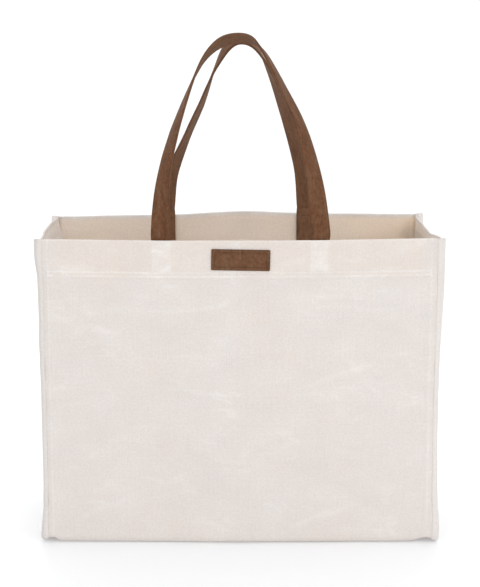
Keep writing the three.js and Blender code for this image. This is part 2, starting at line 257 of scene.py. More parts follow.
def length_prop(name, default, description):
    """A size in metres."""
    return bpy.props.FloatProperty(name=name, description=description, default=default, unit="LENGTH")


def angle_prop(name, degrees, description):
    """An angle, with its default in degrees."""
    return bpy.props.FloatProperty(name=name, description=description, default=math.radians(degrees),
                                   unit="ROTATION")


def colour_prop(name, default, description):
    """A linear colour."""
    return bpy.props.FloatVectorProperty(name=name, description=description, default=default, subtype="COLOR")


class ToteCloth(bpy.types.PropertyGroup):
    """Sizes of the canvas, the tape and the thread."""

    seam_at_rim: length_prop("Seam at rim", 0.245, "Middle of the bag to a side seam, at the rim")
    seam_at_floor: length_prop("Seam at floor", 0.248, "Middle of the bag to a side seam, at the floor")
    foot_radius: length_prop("Foot radius", 0.014, "Fold between a wall and the base")
    foot_lift: length_prop("Foot lift", 0.0052, "How far the seam flange holds the edge of the base up")
    canvas: length_prop("Canvas", 0.0013, "Thickness of the canvas")
    sewn_gap: length_prop("Sewn gap", 0.0003, "Clearance between two sewn layers")
    hem: length_prop("Hem", 0.050, "Depth of the folded hem")
    flange: length_prop("Flange", 0.014, "Seam allowance that stands outwards, inside its tape")
    tape: length_prop("Tape", 0.0010, "Thickness of the seam tape")
    tape_start: length_prop("Tape start", 0.007, "Side seam to the inner edge of the tape")
    tape_end: length_prop("Tape end", 0.0165, "Side seam to the fold of the tape")
    stitch: length_prop("Stitch", 0.0032, "Length of a stitch")
    thread: length_prop("Thread", 0.0006, "Diameter of the thread")


class ToteLeather(bpy.types.PropertyGroup):
    """Sizes of the handles and the patch."""

    strap_width: length_prop("Strap width", 0.0254, "Width of a handle")
    strap_thickness: length_prop("Strap thickness", 0.003, "Thickness of a handle")
    strap_rounding: length_prop("Strap rounding", 0.0011, "Radius of a handle's edges")
    strap_anchor: length_prop("Strap anchor", 0.042, "Length of a handle's end inside the bag")
    strap_gap: length_prop("Strap gap", 0.0005, "Clearance between a handle and the hem")
    patch_width: length_prop("Patch width", 0.0745, "Width of the patch")
    patch_height: length_prop("Patch height", 0.0272, "Height of the patch")
    patch_thickness: length_prop("Patch thickness", 0.0016, "Thickness of the patch")
    patch_tilt: angle_prop("Patch tilt", -1.2, "How far the patch is turned on the front")
    patch_border: length_prop("Patch border", 0.0042, "Edge of the patch to its pressed border")


class ToteColours(bpy.types.PropertyGroup):
    """Colours of the cloth and the leather."""

    canvas: colour_prop("Canvas", (0.761, 0.699, 0.657), "Waxed canvas")
    # this pale colour also paints the highlights along rims and seams and on the tape's edges, and the lit
    # patches inside
    scuff: colour_prop("Scuff", (0.872, 0.838, 0.812), "Wax that has gone pale at a crease")
    # the lining is partly the inner face's own colour, partly painted warm light bounced round inside the bag
    lining: colour_prop("Lining", (0.972, 0.830, 0.682), "Inner face of the canvas")
    tape: colour_prop("Tape", (0.790, 0.740, 0.704), "Seam tape")
    thread: colour_prop("Thread", (0.880, 0.850, 0.825), "Sewing thread")
    leather: colour_prop("Leather", (0.143, 0.062, 0.030), "Grain side of the handles")
    leather_pale: colour_prop("Leather, pale", (0.182, 0.099, 0.056), "Rubbed places of the leather")
    leather_flesh: colour_prop("Leather, flesh", (0.225, 0.125, 0.075), "Flesh side of the handles")
    leather_dark: colour_prop("Leather, dark", (0.050, 0.024, 0.013), "Burnished edges of the leather")
    patch_thread: colour_prop("Patch thread", (0.130, 0.070, 0.042), "Thread of the patch")
    strap_thread: colour_prop("Strap thread", (0.260, 0.170, 0.115), "Thread across the ends of the handles")
    floor: colour_prop("Floor", (0.795, 0.815, 0.833), "Studio floor")


class ToteStage(bpy.types.PropertyGroup):
    """Camera, floor and light."""

    camera_place: bpy.props.FloatVectorProperty(
        name="Camera place", description="Where the camera stands", default=(-0.023, -1.848, 0.722),
        subtype="TRANSLATION", unit="LENGTH")
    camera_pitch: angle_prop("Camera pitch", 12.346, "How far the camera looks down")
    camera_yaw: angle_prop("Camera yaw", 0.7536, "How far the camera is turned to the right")
    lens: bpy.props.FloatProperty(
        name="Lens", description="Focal length on a 36 mm sensor", default=85.58, unit="CAMERA")
    sky: bpy.props.FloatProperty(name="Sky", description="Brightness of the white surround", default=1.04)
    key: bpy.props.FloatProperty(
        name="Key", description="Power of the large soft light at the front right", default=6.1, unit="POWER")
    floor_size: length_prop("Floor size", 400.0, "Width of the floor")


# Small numeric helpers

def smooth(low, high, x):
    """A step from 0 at low to 1 at high, with soft ends."""
    t = np.clip((x - low) / (high - low), 0, 1)
    return t * t * (3 - 2 * t)


def hump(x, width):
    """A soft bump of height 1 about 0."""
    return np.exp(-((x / width) ** 2))


def ridge(x, row):
    """Height of a soft ridge at places on its run."""
    return row.height * hump(x - row.place, row.width)


def band(x, low, high, soft):
    """1 between low and high, with soft edges."""
    return smooth(low - soft, low + soft, x) * (1 - smooth(high - soft, high + soft, x))


def unit(vectors):
    """Vectors brought to a length of 1."""
    return vectors / np.linalg.norm(vectors, axis=-1, keepdims=True)


def graded(*stretches):
    """Distances from 0 through each stretch, given as its end and the step in it."""
    marks = [0.0]
    for end, step in stretches:
        count = max(1, round((end - marks[-1]) / step))
        marks.extend(np.linspace(marks[-1], end, count + 1)[1:])
    return np.array(marks)


def ripple(u, v, row, reseed=0):
    """Height of smooth ripples over cloth coordinates."""
    cells = 64
    lattice = np.random.default_rng(row.seed + reseed).uniform(-1, 1, (cells, cells))
    a, b = np.broadcast_arrays(u / row.size, v / row.size)
    i, j = np.floor(a).astype(int), np.floor(b).astype(int)
    s, t = smooth(0, 1, a - i), smooth(0, 1, b - j)

    def corner(di, dj):
        return lattice[(i + di) % cells, (j + dj) % cells]

    low = corner(0, 0) * (1 - s) + corner(1, 0) * s
    high = corner(0, 1) * (1 - s) + corner(1, 1) * s
    return row.height * (low * (1 - t) + high * t)


def crumple(u, v, shift):
    """Height of crumpled cloth over its coordinates."""
    return sum(ripple(u + shift, v + shift, row) for row in CRUMPLES)


def run_length(path):
    """Distance along a line of points, from its first point."""
    steps = np.linalg.norm(np.diff(path, axis=0), axis=1)
    return np.concatenate([[0.0], np.cumsum(steps)])


def round_corner(before, corner, after, share):
    """Points on a soft bend from before to after, past a corner, at shares of the way."""
    t = np.clip(share, 0, 1)[..., None]
    return (1 - t) ** 2 * before + 2 * t * (1 - t) * corner + t**2 * after


def meet(left, right):
    """Columns of a sheet from edge to edge, from two halves that each run from an edge to the middle."""
    return np.concatenate([left, right[:, ::-1][:, 1:]], axis=1)


def there_and_back(outer, inner):
    """Rings that run along one face of a sheet and back along the other."""
    return np.concatenate([outer, inner[:, ::-1]], axis=1)


# Shape of the cloth

Calm = namedtuple("Calm", "start whole hem")
# Rows of the cloth: the height on the wall, the angle of the fold, the share of the way to the middle of the
# base, and the height all the way round
Rows = namedtuple("Rows", "up fold base height")
SeamFrame = namedtuple("SeamFrame", "origin inward outward along through turn")
# Relief of a face and both faces of a sheet, with marks that the finish turns into pale, dark and warm
# places:
# scuffs, painted highlights, painted shade and painted warmth
Relief = namedtuple("Relief", "height scuff press")
Faces = namedtuple("Faces", "outer inner normal uv scuff press warm lining pale")


def on_seam(seam, along, through):
    """Points on the flange of a seam, at places along it, from the seam outwards, and through it."""
    along, through = np.broadcast_arrays(along, through)
    return (seam.origin[:, None] + seam.along[:, None] * along[..., None]
            + seam.through[:, None] * through[..., None])


class BagShape:
    """Where the cloth of the bag lies, worked out from its sizes."""

    # Rows down a wall: the depth below the rim that a stretch goes down to and the step in it
    ROW_STRETCHES = ((0.0003, 0.0003), (0.0013, 0.0005), (0.004, 0.0013), (0.038, 0.0042), (0.052, 0.0009))
    ROW_STEP = 0.005                # step below those stretches
    FOLD_ROWS, BASE_ROWS = 9, 16
    # Columns from a side seam: the distance that a stretch ends at and the step in it
    FLANGE_STEPS = (0.0008, 0.002)
    PANEL_STRETCHES = ((0.011, 0.001), (0.030, 0.0032))
    GUSSET_STRETCHES = ((0.012, 0.0012), (0.030, 0.003))
    COLUMN_STEP = 0.005             # step on the panel past those stretches
    SPINE_COLUMNS = 14              # columns of a gusset past them, to its spine

    BEND = 0.0022                   # run of the soft bend at a side seam, on either side of it
    GUSSET_BEND = 1.3 * BEND        # run of that bend along a gusset
    PAST_BEND = (0.004, 0.008)      # distances between which a gusset comes out of it
    ROLL_RUN = 0.036                # run along a gusset of its roll out of the flange
    WAVE_START = (0.002, 0.008)     # distances from the seam between which a flange starts to wave
    SEAM_WELT = Ridge(0.0035, 0.0020, 0.0005)
    # painted highlight along the bend of a wall into its flange
    SEAM_HIGHLIGHT = Ridge(-0.0006, 0.0015, 0.5)
    # painted shade on the flange cloth beside the step of the tape
    FLANGE_SHADE = 0.2

    HEM_TO_SEAM = 0.005             # the hem's second layer stops this far from a side seam
    HEM_FADE = 0.012                # run over which that layer thins out there
    HEM_END = 0.0006                # run over which it ends below
    HEM_SOFT = 0.002                # run over which its end shows through the wall
    HEM_STEP = 0.0003               # how far the cloth under the hem, and its stitch rows, lie back
    HEM_GROOVE = 0.0014             # half width of a stitch row's groove
    HEM_CALM = (0.045, 0.075)       # depths below the rim between which the crumple grows
    LEAST_SHARE = 0.03              # share of the thickness that is left at the very rim
    LINING_START = (0.0025, 0.0060)     # depths below the rim between which the inner colour starts

    # Distances from a side seam between which the crumple grows, and how far the hem holds it flat
    WALL_CALM = Calm(0.004, 0.045, 0.55)
    GUSSET_CALM = Calm(0.006, 0.035, 0.50)
    GUSSET_FOOT = (0.012, 0.050)    # heights between which the crumple of a gusset grows
    GUSSET_CRUMPLE = 1.3            # crumple of a gusset, against that of a wall
    GUSSET_SHIFT = 3                # shift of it, so that no gusset repeats a wall
    GUSSET_HEM_PALE = 0.75
    GUSSET_RIM = (0.0005, 0.0035)   # depths below the rim between which the painted shade of a gusset's rim fades
    # painted shade along a gusset's rim and in the corner at its seams
    GUSSET_RIM_SHADE = 0.6
    GUSSET_SEAM_SHADE = Ridge(0.0, 0.003, 0.3)
    DEEP_SHADING = (0.010, 0.030)       # depths between which the painted light of a gusset's inner face gets stronger
    DEEP_GAIN = 4                   # by how many times its own strength

    PATCH_HOLD = (0.006, 0.005)     # soft edge of the calm cloth under the patch, across and up
    CREASE_WANDER = 0.003           # how far a fold mark wanders off its line
    CREASE_BEND = 0.019             # run over which it does
    CREASE_START = 0.02             # distance from a side seam at which fold marks are whole
    # paleness of a proud fold mark, and the painted shade of a sunk one
    CREASE_PALE = 0.5
    STRAP_PRINT = 0.0008            # how far the end of a handle stands out through the hem
    STRAP_SOFT = (0.0016, 0.002)    # soft edge of that print, across and up
    STRAP_PALE = 0.65
    PUCKER = 0.00022                # height of the puckers along a side seam
    PUCKER_RUN = 0.0019             # run of one radian of their wave
    PUCKER_REACH = 0.008            # distance from the seam over which they fade

    FOOT_REACH = (0.0065, 0.014)    # run over which the lifted left and right edge of the base come down
    FOOT_FADE = 0.022               # height over which the lift fades
    FOOT_SQUARE = 0.74              # below 1 the fold between wall and base is squarer than a round one
    SAG_START = 0.15                # share of the way to the middle of the base at which it sags in full
    SPINE_CLEAR = 0.0006            # gap between the foot of a gusset's spine and the base

    def __init__(self, cloth, leather):
        self.cloth, self.leather = cloth, leather

    def seam_half(self, up):
        """Middle of the bag to a side seam, at a height."""
        return self.cloth.seam_at_floor + (self.cloth.seam_at_rim - self.cloth.seam_at_floor) * up / RIM

    def wall_face(self, wall_name, across, up):
        """Outer face of a wall as its Y, without its relief."""
        wall = WALLS[wall_name]
        share = across / self.seam_half(up)
        height = up / RIM
        bow = wall.bow_at_floor + (wall.bow_at_rim - wall.bow_at_floor) * height**2
        for dent in DENTS[wall_name]:
            bow = bow - dent.depth * hump(np.hypot(across - dent.across, up - dent.up), dent.reach)
        skew = wall.skew_at_rim * height**2 + wall.skew_at_floor * (1 - height) ** 3
        return wall.plane + wall.facing * bow * (1 - share**2) + skew * share

    def half_rows(self):
        """Rows of the cloth from a rim down its wall, round the fold and along the base to the middle."""
        depth = graded(*self.ROW_STRETCHES, (RIM - self.cloth.foot_radius, self.ROW_STEP))
        fold = np.linspace(0, math.pi / 2, self.FOLD_ROWS + 1)[1:]
        base = np.linspace(0, 1, self.BASE_ROWS + 1)[1:]
        up = np.concatenate([RIM - depth, np.zeros(len(fold) + len(base))])
        fold = np.concatenate([np.zeros(len(depth)), fold, np.full(len(base), math.pi / 2)])
        base = np.concatenate([np.zeros(len(up) - len(base)), base])
        return self.rows(up, fold, base)

    def rows(self, up, fold=0.0, base=0.0):
        """Rows at heights on a wall, or at angles of the fold and shares of the way to the base's middle."""
        up, fold, base = np.broadcast_arrays(np.asarray(up, float), fold, base)
        rounded = self.cloth.foot_radius * (1 - np.sin(fold) ** self.FOOT_SQUARE)
        return Rows(up, fold, base, np.where(fold > 0, rounded, up))

    def lift(self, across, height):
        """How far the thick seam flange holds the cloth off the floor near a side."""
        edge = self.seam_half(height) - np.abs(across)
        reach = np.where(across < 0, *self.FOOT_REACH)
        return self.cloth.foot_lift * hump(edge, reach) * np.exp(-height / self.FOOT_FADE)

    def strip_face(self, wall_name, rows, across):
        """Outer face of the main strip, and the direction into the bag."""
        facing, radius = WALLS[wall_name].facing, self.cloth.foot_radius
        fold, height = rows.fold[:, None], rows.height[:, None]
        face = self.wall_face(wall_name, across, np.maximum(rows.up[:, None], radius))
        turned = face - facing * radius * (1 - np.clip(np.cos(fold), 0, 1) ** self.FOOT_SQUARE)
        back = turned + (BASE_MIDDLE - turned) * rows.base[:, None]
        point = np.stack(np.broadcast_arrays(across, back, height + self.lift(across, height)), -1)
        inward = np.stack([np.zeros_like(fold), -facing * np.cos(fold), np.sin(fold)], -1)
        return point, inward

    def seam_frame(self, wall_name, rows, side):
        """A side seam at each row: where its layers meet and the directions of its flange."""
        across = side * self.seam_half(rows.height)[:, None]
        face, inward = self.strip_face(wall_name, rows, across)
        inward = inward[:, 0]
        outward = np.broadcast_to(side * X_AXIS, inward.shape)
        column = "back" if wall_name == "back" else "front_left" if side < 0 else "front_right"
        turns = [getattr(row, column) for row in FLANGE_TURNS]
        turn = np.radians(np.interp(rows.height, [row.up for row in FLANGE_TURNS], turns))[:, None]
        along = np.cos(turn) * outward + np.sin(turn) * inward
        through = np.cos(turn) * inward - np.sin(turn) * outward
        return SeamFrame(face[:, 0] + inward * self.cloth.canvas, inward, outward, along, through, turn)

    def seam_line(self, side):
        """A whole side seam, from the front rim down, under the base and up to the back rim."""
        front = self.half_rows()
        back = Rows(*(column[:-1][::-1] for column in front))
        frames = self.seam_frame("front", front, side), self.seam_frame("back", back, side)
        return SeamFrame(*(np.concatenate(column) for column in zip(*frames)))

    def flange_columns(self):
        """Distances of a flange's columns from the side seam."""
        bend_step, flange_step = self.FLANGE_STEPS
        return graded((self.BEND, bend_step), (self.cloth.flange, flange_step))[1:]

    def crumple_share(self, up, edge, calm):
        """Share of the crumple that shows, less near a side seam and in the hem."""
        in_hem = 1 - smooth(*self.HEM_CALM, RIM - up)
        return smooth(calm.start, calm.whole, edge) * (1 - calm.hem * in_hem)

    def hem_relief(self, up):
        """Relief of the hem by height, and how far its stitch rows press in."""
        depth = RIM - up
        below = smooth(self.cloth.hem - self.HEM_SOFT, self.cloth.hem + self.HEM_SOFT, depth)
        press = sum(hump(depth - line, self.HEM_GROOVE) for line in HEM_LINES)
        welts = sum(ridge(depth, row) for row in HEM_WELTS)
        return welts - self.HEM_STEP * (below + press), press

    def fold_marks(self, wall_name, across, up):
        """Height and paleness of a wall's fold marks, with painted shade in the sunk ones."""
        height = scuff = 0.0
        for crease in CREASES[wall_name]:
            cosine, sine = math.cos(math.radians(crease.slope)), math.sin(math.radians(crease.slope))
            x, z = across - crease.across, up - crease.up
            along = x * cosine + z * sine
            off = z * cosine - x * sine + self.CREASE_WANDER * np.sin(along / self.CREASE_BEND)
            mark = hump(off, crease.width) * np.exp(-((along / crease.length) ** 4))
            height = height + crease.height * mark
            # a proud mark goes pale; a sunk one gets painted shade in its trough
            scuff = scuff + math.copysign(self.CREASE_PALE, crease.height) * mark
        return height, scuff

    def strap_print(self, wall_name, across, up):
        """1 where the end of a handle lies behind a wall's hem."""
        half, (soft_across, soft_up) = self.leather.strap_width / 2, self.STRAP_SOFT
        ends = [end for handle in HANDLES if handle.wall == wall_name for end in handle.ends]
        printed = sum(band(across, end - half, end + half, soft_across) for end in ends)
        return printed * (1 - smooth(self.leather.strap_anchor - soft_up, self.leather.strap_anchor + soft_up,
                                     RIM - up))

    def wall_relief(self, wall_name, across, up):
        """Fine relief of a wall: crumple, fold marks, hem, hidden strap ends and the pull of the seams."""
        edge = self.seam_half(up) - np.abs(across)
        crumpled = self.crumple_share(up, edge, self.WALL_CALM)
        if wall_name == "front":
            soft_across, soft_up = self.PATCH_HOLD
            crumpled = crumpled * (1 - band(across, PATCH_LOW.x, PATCH_HIGH.x, soft_across)
                                   * band(up, PATCH_LOW.z, PATCH_HIGH.z, soft_up))
        crease_height, crease_scuff_and_shade = self.fold_marks(wall_name, across, up)
        creased = smooth(0, self.CREASE_START, edge)
        hem_height, hem_press = self.hem_relief(up)
        strap = self.strap_print(wall_name, across, up)
        wave = np.sin(up / self.PUCKER_RUN + ripple(across, up, PUCKER_STRAY))
        pucker = self.PUCKER * wave * np.exp(-np.abs(edge) / self.PUCKER_REACH)
        height = (crumple(across, up, WALLS[wall_name].facing) * crumpled + crease_height * creased
                  + hem_height + self.STRAP_PRINT * strap + ridge(edge, self.SEAM_WELT) + pucker)
        wear_and_rim_highlight = WEAR_AND_RIM_HIGHLIGHT[wall_name]
        rubbed = wear_and_rim_highlight.strap * strap * (self.STRAP_PALE + ripple(across, up, STRAP_RUB))
        # the pale band along the rim is a painted highlight where light falls on the top of the wall
        rim = wear_and_rim_highlight.rim * (1 - smooth(*wear_and_rim_highlight.fade, RIM - up))
        scuff = np.clip(crease_scuff_and_shade * creased + hem_press + rubbed + rim, -1, 1)
        return Relief(height, scuff, ridge(RIM - up, HEM_SHADE))

    def panel_side(self, wall_name, rows, side):
        """Middle of the main panel's cloth on one side of the bag, from the edge of its flange to the middle
        of the bag, with its scuffs and painted highlights, its painted shade under the hem and its distance
        across."""
        canvas, rim_half = self.cloth.canvas, self.cloth.seam_at_rim
        seam = self.seam_frame(wall_name, rows, side)
        half = self.seam_half(rows.height)[:, None]
        folded = smooth(0, math.pi / 2, rows.fold)[:, None]
        on_base = folded * smooth(0, self.SAG_START, rows.base)[:, None]

        def on_wall(distance):
            across = side * (half - distance * half / rim_half)
            point, inward = self.strip_face(wall_name, rows, across)
            relief = self.wall_relief(wall_name, across, rows.height[:, None])
            sag = (BASE_SAG.height + ripple(across, point[..., 1], BASE_SAG)) * on_base
            depth = canvas / 2 - relief.height * (1 - folded) + sag
            return point + inward * depth[..., None], relief

        def on_flange(distance):
            wave = ripple(rows.height[:, None], distance, FLANGE_WAVE) * smooth(*self.WAVE_START, distance)
            return on_seam(seam, distance, wave - canvas / 2)

        # Reach is the distance past the side seam: the flange above 0, the wall below it
        wall_columns = graded(*self.PANEL_STRETCHES, (rim_half, self.COLUMN_STEP))
        columns = np.concatenate([self.flange_columns()[::-1], -wall_columns])
        reach = np.broadcast_to(columns, (len(rows.up), len(columns)))
        wall, relief = on_wall(np.maximum(-reach, 0))
        corner = seam.origin + canvas / 2 * (seam.outward * np.tan(seam.turn / 2) - seam.inward)
        bend = np.full((len(rows.up), 1), self.BEND)
        bent = round_corner(on_wall(bend)[0], corner[:, None], on_flange(bend), (reach + bend) / (2 * bend))
        past = reach > 0
        mid = np.where(past[..., None], on_flange(np.maximum(reach, 0)), wall)
        mid = np.where((np.abs(reach) < bend)[..., None], bent, mid)
        across = side * np.where(past, half + reach, half * (1 + reach / rim_half))
        # a painted highlight along the seam's bend
        scuff = np.clip(np.where(past, 0, relief.scuff) + ridge(reach, self.SEAM_HIGHLIGHT), -1, 1)
        return mid, scuff, np.where(past, 0, relief.press), across

    def lining_share(self, rows):
        """How far the inner face shows the lining colour, its own colour with painted warm bounce light: the
        fold of the rim keeps the outer one.
        """
        return smooth(*self.LINING_START, RIM - rows.up)[:, None]

    def thickness_share(self, rows):
        """1 down the wall, less over the last of the rim, so that the fold of the hem is round."""
        depth = np.clip((RIM - rows.up) / self.cloth.canvas, self.LEAST_SHARE, 1)
        return np.where(rows.fold > 0, 1, np.sqrt(1 - (1 - depth) ** 2))[:, None, None]

    def thicken(self, mid, normal, rows, hemmed):
        """The two faces of a sheet about its middle, with a second layer inside where it is hemmed."""
        canvas, low = self.cloth.canvas, RIM - self.cloth.hem
        hem = (smooth(low - self.HEM_END, low, rows.up)[:, None] * hemmed)[..., None]
        share = self.thickness_share(rows)
        middle, half = -canvas * hem / 2, (canvas + canvas * hem) / 2
        return mid + normal * (middle + half * share), mid + normal * (middle - half * share)

    def panel_half(self, wall_name, rows):
        """Faces of the main panel over one wall and its half of the base."""
        sides = [self.panel_side(wall_name, rows, side) for side in (-1, 1)]
        mid, scuff, press, across = (meet(left, right) for left, right in zip(*sides))
        _, inward = self.strip_face(wall_name, rows, np.zeros((len(rows.up), 1)))
        normal = unit(np.cross(np.gradient(mid, axis=1), np.cross(X_AXIS, inward)))
        hemmed = smooth(0, self.HEM_FADE, self.cloth.seam_at_rim - self.HEM_TO_SEAM - np.abs(across))
        outer, inner = self.thicken(mid, normal, rows, hemmed)
        run = np.broadcast_to(run_length(mid[:, mid.shape[1] // 2])[:, None], across.shape)
        depth = RIM - rows.up[:, None]
        # painted warmth over the hem, where the double layer lets less light through
        warm = hemmed * (1 - smooth(self.cloth.hem - self.HEM_SOFT, self.cloth.hem, depth))
        # painted light inside: a lit patch at the left corner, painted shade below the middle of the rim and
        # in the right corner
        pale = sum(wax.pale * hump(across - wax.across, wax.reach) * smooth(wax.start, wax.whole, depth)
                   for wax in INNER_PAINTED_LIGHT)
        # lining share, which paints warm bounce light, more of it in the painted shade of the right corner
        lit = LINING_EVEN + sum(ridge(across, row) for row in LINING_PLACES)
        lining = self.lining_share(rows)
        return Faces(outer, inner, normal, np.stack([across, run], -1), scuff, press, warm, lit * lining,
                     pale * lining)

    def gusset_half(self, gusset, wall_name, rows, spine_up):
        """Middle of a gusset's cloth from the edge of one flange to the gusset's spine, with the distance
        past the side seam, the relief and the seam."""
        cloth, canvas = self.cloth, self.cloth.canvas
        seam = self.seam_frame(wall_name, rows, gusset.side)
        count = len(rows.up)
        layer = cloth.sewn_gap + canvas / 2
        sine, cosine = np.sin(seam.turn), np.cos(seam.turn)
        meeting = (layer * sine - canvas / 2) / cosine
        corner = seam.origin + seam.inward * (layer * cosine + meeting * sine) - seam.outward * canvas / 2
        edge = seam.origin + seam.inward * self.HEM_TO_SEAM - seam.outward * canvas / 2
        spine = np.stack([edge[:, 0], np.full(count, BASE_MIDDLE), spine_up], -1)
        span = np.linalg.norm(spine - edge, axis=1)[:, None]
        whole = span + self.HEM_TO_SEAM

        def on_wall(distance):
            near = np.clip(distance / self.HEM_TO_SEAM, 0, 1)[..., None]
            share = np.clip((distance - self.HEM_TO_SEAM) / span, 0, 1)
            point = corner[:, None] + (edge - corner)[:, None] * near
            point = point + (spine - edge)[:, None] * share[..., None]
            relief = self.gusset_relief(gusset, point[..., 1], point[..., 2], distance, rows)
            bow = gusset.bow * (rows.up[:, None] / RIM) ** 2 * (1 - (1 - share) ** 4)
            return point + seam.outward[:, None] * (bow + relief.height)[..., None], relief

        near = graded(*self.GUSSET_STRETCHES)
        columns = np.concatenate([-self.flange_columns()[::-1], near])
        past = np.maximum(whole - near[-1], 0) * np.linspace(0, 1, self.SPINE_COLUMNS + 1)[1:]
        reach = np.concatenate([np.broadcast_to(columns, (count, len(columns))), near[-1] + past], axis=1)
        reach = np.minimum(reach, whole)
        wall_points, relief = on_wall(np.maximum(reach, 0))
        mid = np.where((reach < 0)[..., None], on_seam(seam, np.maximum(-reach, 0), layer), wall_points)

        corner_roll = getattr(gusset, wall_name)
        roll = hump(RIM - rows.height, corner_roll.down)[:, None]
        before = self.BEND + (cloth.tape_start - cloth.sewn_gap - self.BEND) * roll
        after = np.minimum(self.GUSSET_BEND + (self.ROLL_RUN - self.BEND) * roll, whole)
        pulled = corner[:, None] + (seam.outward * corner_roll.out * roll)[:, None]
        bent = round_corner(on_seam(seam, before, layer), pulled, on_wall(after)[0],
                            (reach + before) / (before + after))
        mid = np.where(((reach > -before) & (reach < after))[..., None], bent, mid)
        return mid, reach, relief, seam

    def gusset_relief(self, gusset, back, up, distance, rows):
        """Fine relief of a gusset: crumple, a soft upright fold and its hem."""
        crumpled = self.crumple_share(up, distance, self.GUSSET_CALM) * smooth(*self.GUSSET_FOOT, up)
        off = back - BASE_MIDDLE - UPRIGHT.wander * np.sin(up / UPRIGHT.bend)
        upright = hump(off, UPRIGHT.width) * band(up, UPRIGHT.low, UPRIGHT.high, UPRIGHT.soft)
        hem_height, hem_press = self.hem_relief(rows.up[:, None])
        height = (self.GUSSET_CRUMPLE * crumple(back, up, self.GUSSET_SHIFT + gusset.side) * crumpled
                  - UPRIGHT.depth * upright + hem_height * smooth(*self.PAST_BEND, distance))
        scuff = UPRIGHT.pale * upright + self.GUSSET_HEM_PALE * hem_press
        # the press mark of a gusset is painted shade: in the corner at the seam and along the rim
        rim = 1 - smooth(*self.GUSSET_RIM, RIM - rows.up)[:, None]
        return Relief(height, scuff, ridge(distance, self.GUSSET_SEAM_SHADE) + self.GUSSET_RIM_SHADE * rim)

    def gusset_faces(self, gusset, rows):
        """Faces of a whole gusset, from the edge of its front flange to the edge of its back flange."""
        cloth, foot = self.cloth, self.cloth.foot_radius
        folded = rows.fold > 0
        sunk = np.where(folded, np.cumsum(folded) / max(1, folded.sum()), 0)
        spine_foot = cloth.canvas + cloth.foot_lift + self.HEM_TO_SEAM + self.SPINE_CLEAR
        spine_up = np.where(folded, foot + (spine_foot - foot) * sunk, rows.up)
        lining = self.lining_share(rows)
        halves = []
        for wall_name, wall in WALLS.items():
            mid, reach, relief, seam = self.gusset_half(gusset, wall_name, rows, spine_up)
            climb = -wall.facing * np.cross(X_AXIS, seam.inward)[:, None]
            tangent = np.gradient(mid, axis=1) * -wall.facing
            turned = unit(np.cross(tangent, climb) * gusset.side + TINY)
            flat = smooth(*self.PAST_BEND, reach)[..., None]
            normal = unit(turned * (1 - flat) + seam.outward[:, None] * flat)
            hemmed = smooth(self.HEM_TO_SEAM, self.HEM_TO_SEAM + self.HEM_FADE, reach)
            outer, inner = self.thicken(mid, normal, rows, hemmed)
            across = wall.facing * (reach.max(axis=1, keepdims=True) - reach)
            scuff = np.where(reach < 0, 0, relief.scuff)
            # the flange takes painted shade in its press mark
            press = np.where(reach < 0, self.FLANGE_SHADE, relief.press)
            # painted light of the inner face: painted lit on the left gusset, painted shade on the right one,
            # stronger deeper in the bag; the lining share adds painted warm bounce light
            wax = np.interp(mid[..., 1], [BASE_MIDDLE, WALLS["back"].plane], gusset.wax)
            wax = wax * (1 + self.DEEP_GAIN * smooth(*self.DEEP_SHADING, RIM - rows.up))[:, None]
            warm = np.zeros_like(across)
            halves.append(Faces(outer, inner, normal, across, scuff, press, warm, warm + gusset.warm * lining,
                                wax * lining))
        faces = Faces(*(meet(front, back) for front, back in zip(*halves)))
        run = np.broadcast_to(run_length(faces.outer[:, 0])[:, None], faces.uv.shape)
        return faces._replace(uv=np.stack([faces.uv, run], -1))


# Meshes

def linked(name, data):
    """A new object of the scene."""
    piece = bpy.data.objects.new(name, data)
    bpy.context.scene.collection.objects.link(piece)
    return piece


def ring_quads(index):
    """Quads between each ring of points and the next."""
    here, ahead = index[..., :-1, :], index[..., 1:, :]
    return np.stack([here, np.roll(here, -1, -1), np.roll(ahead, -1, -1), ahead], -1).reshape(-1, 4)


def solid(name, rings, uv, marks, fold_last=False):
    """A closed mesh through rings of points. A ring's second half runs back along its first, so the first and
    the last ring are closed by zipping those halves. With fold_last the last ring is folded on itself
    instead, and needs no end."""
    count, size = rings.shape[:2]
    half = size // 2
    index = np.arange(count * size).reshape(count, size)
    if fold_last:
        columns = np.arange(half)
        mirrored = np.minimum(columns, half - 1 - columns)
        index[-1, :half] = index[-1, mirrored]
        index[-1, half:] = index[-1, (2 * half - 1 - mirrored)[::-1]]
    faces = [ring_quads(index)]
    k = np.arange(half - 1)
    for ring in [index[0]] if fold_last else [index[0], index[-1][::-1]]:
        faces.append(np.stack([ring[k + 1], ring[k], ring[size - 1 - k], ring[size - 2 - k]], -1))
    return mesh_object(name, rings.reshape(-1, 3), np.concatenate(faces), uv.reshape(-1, 2),
                       {key: value.reshape(-1) for key, value in marks.items()})


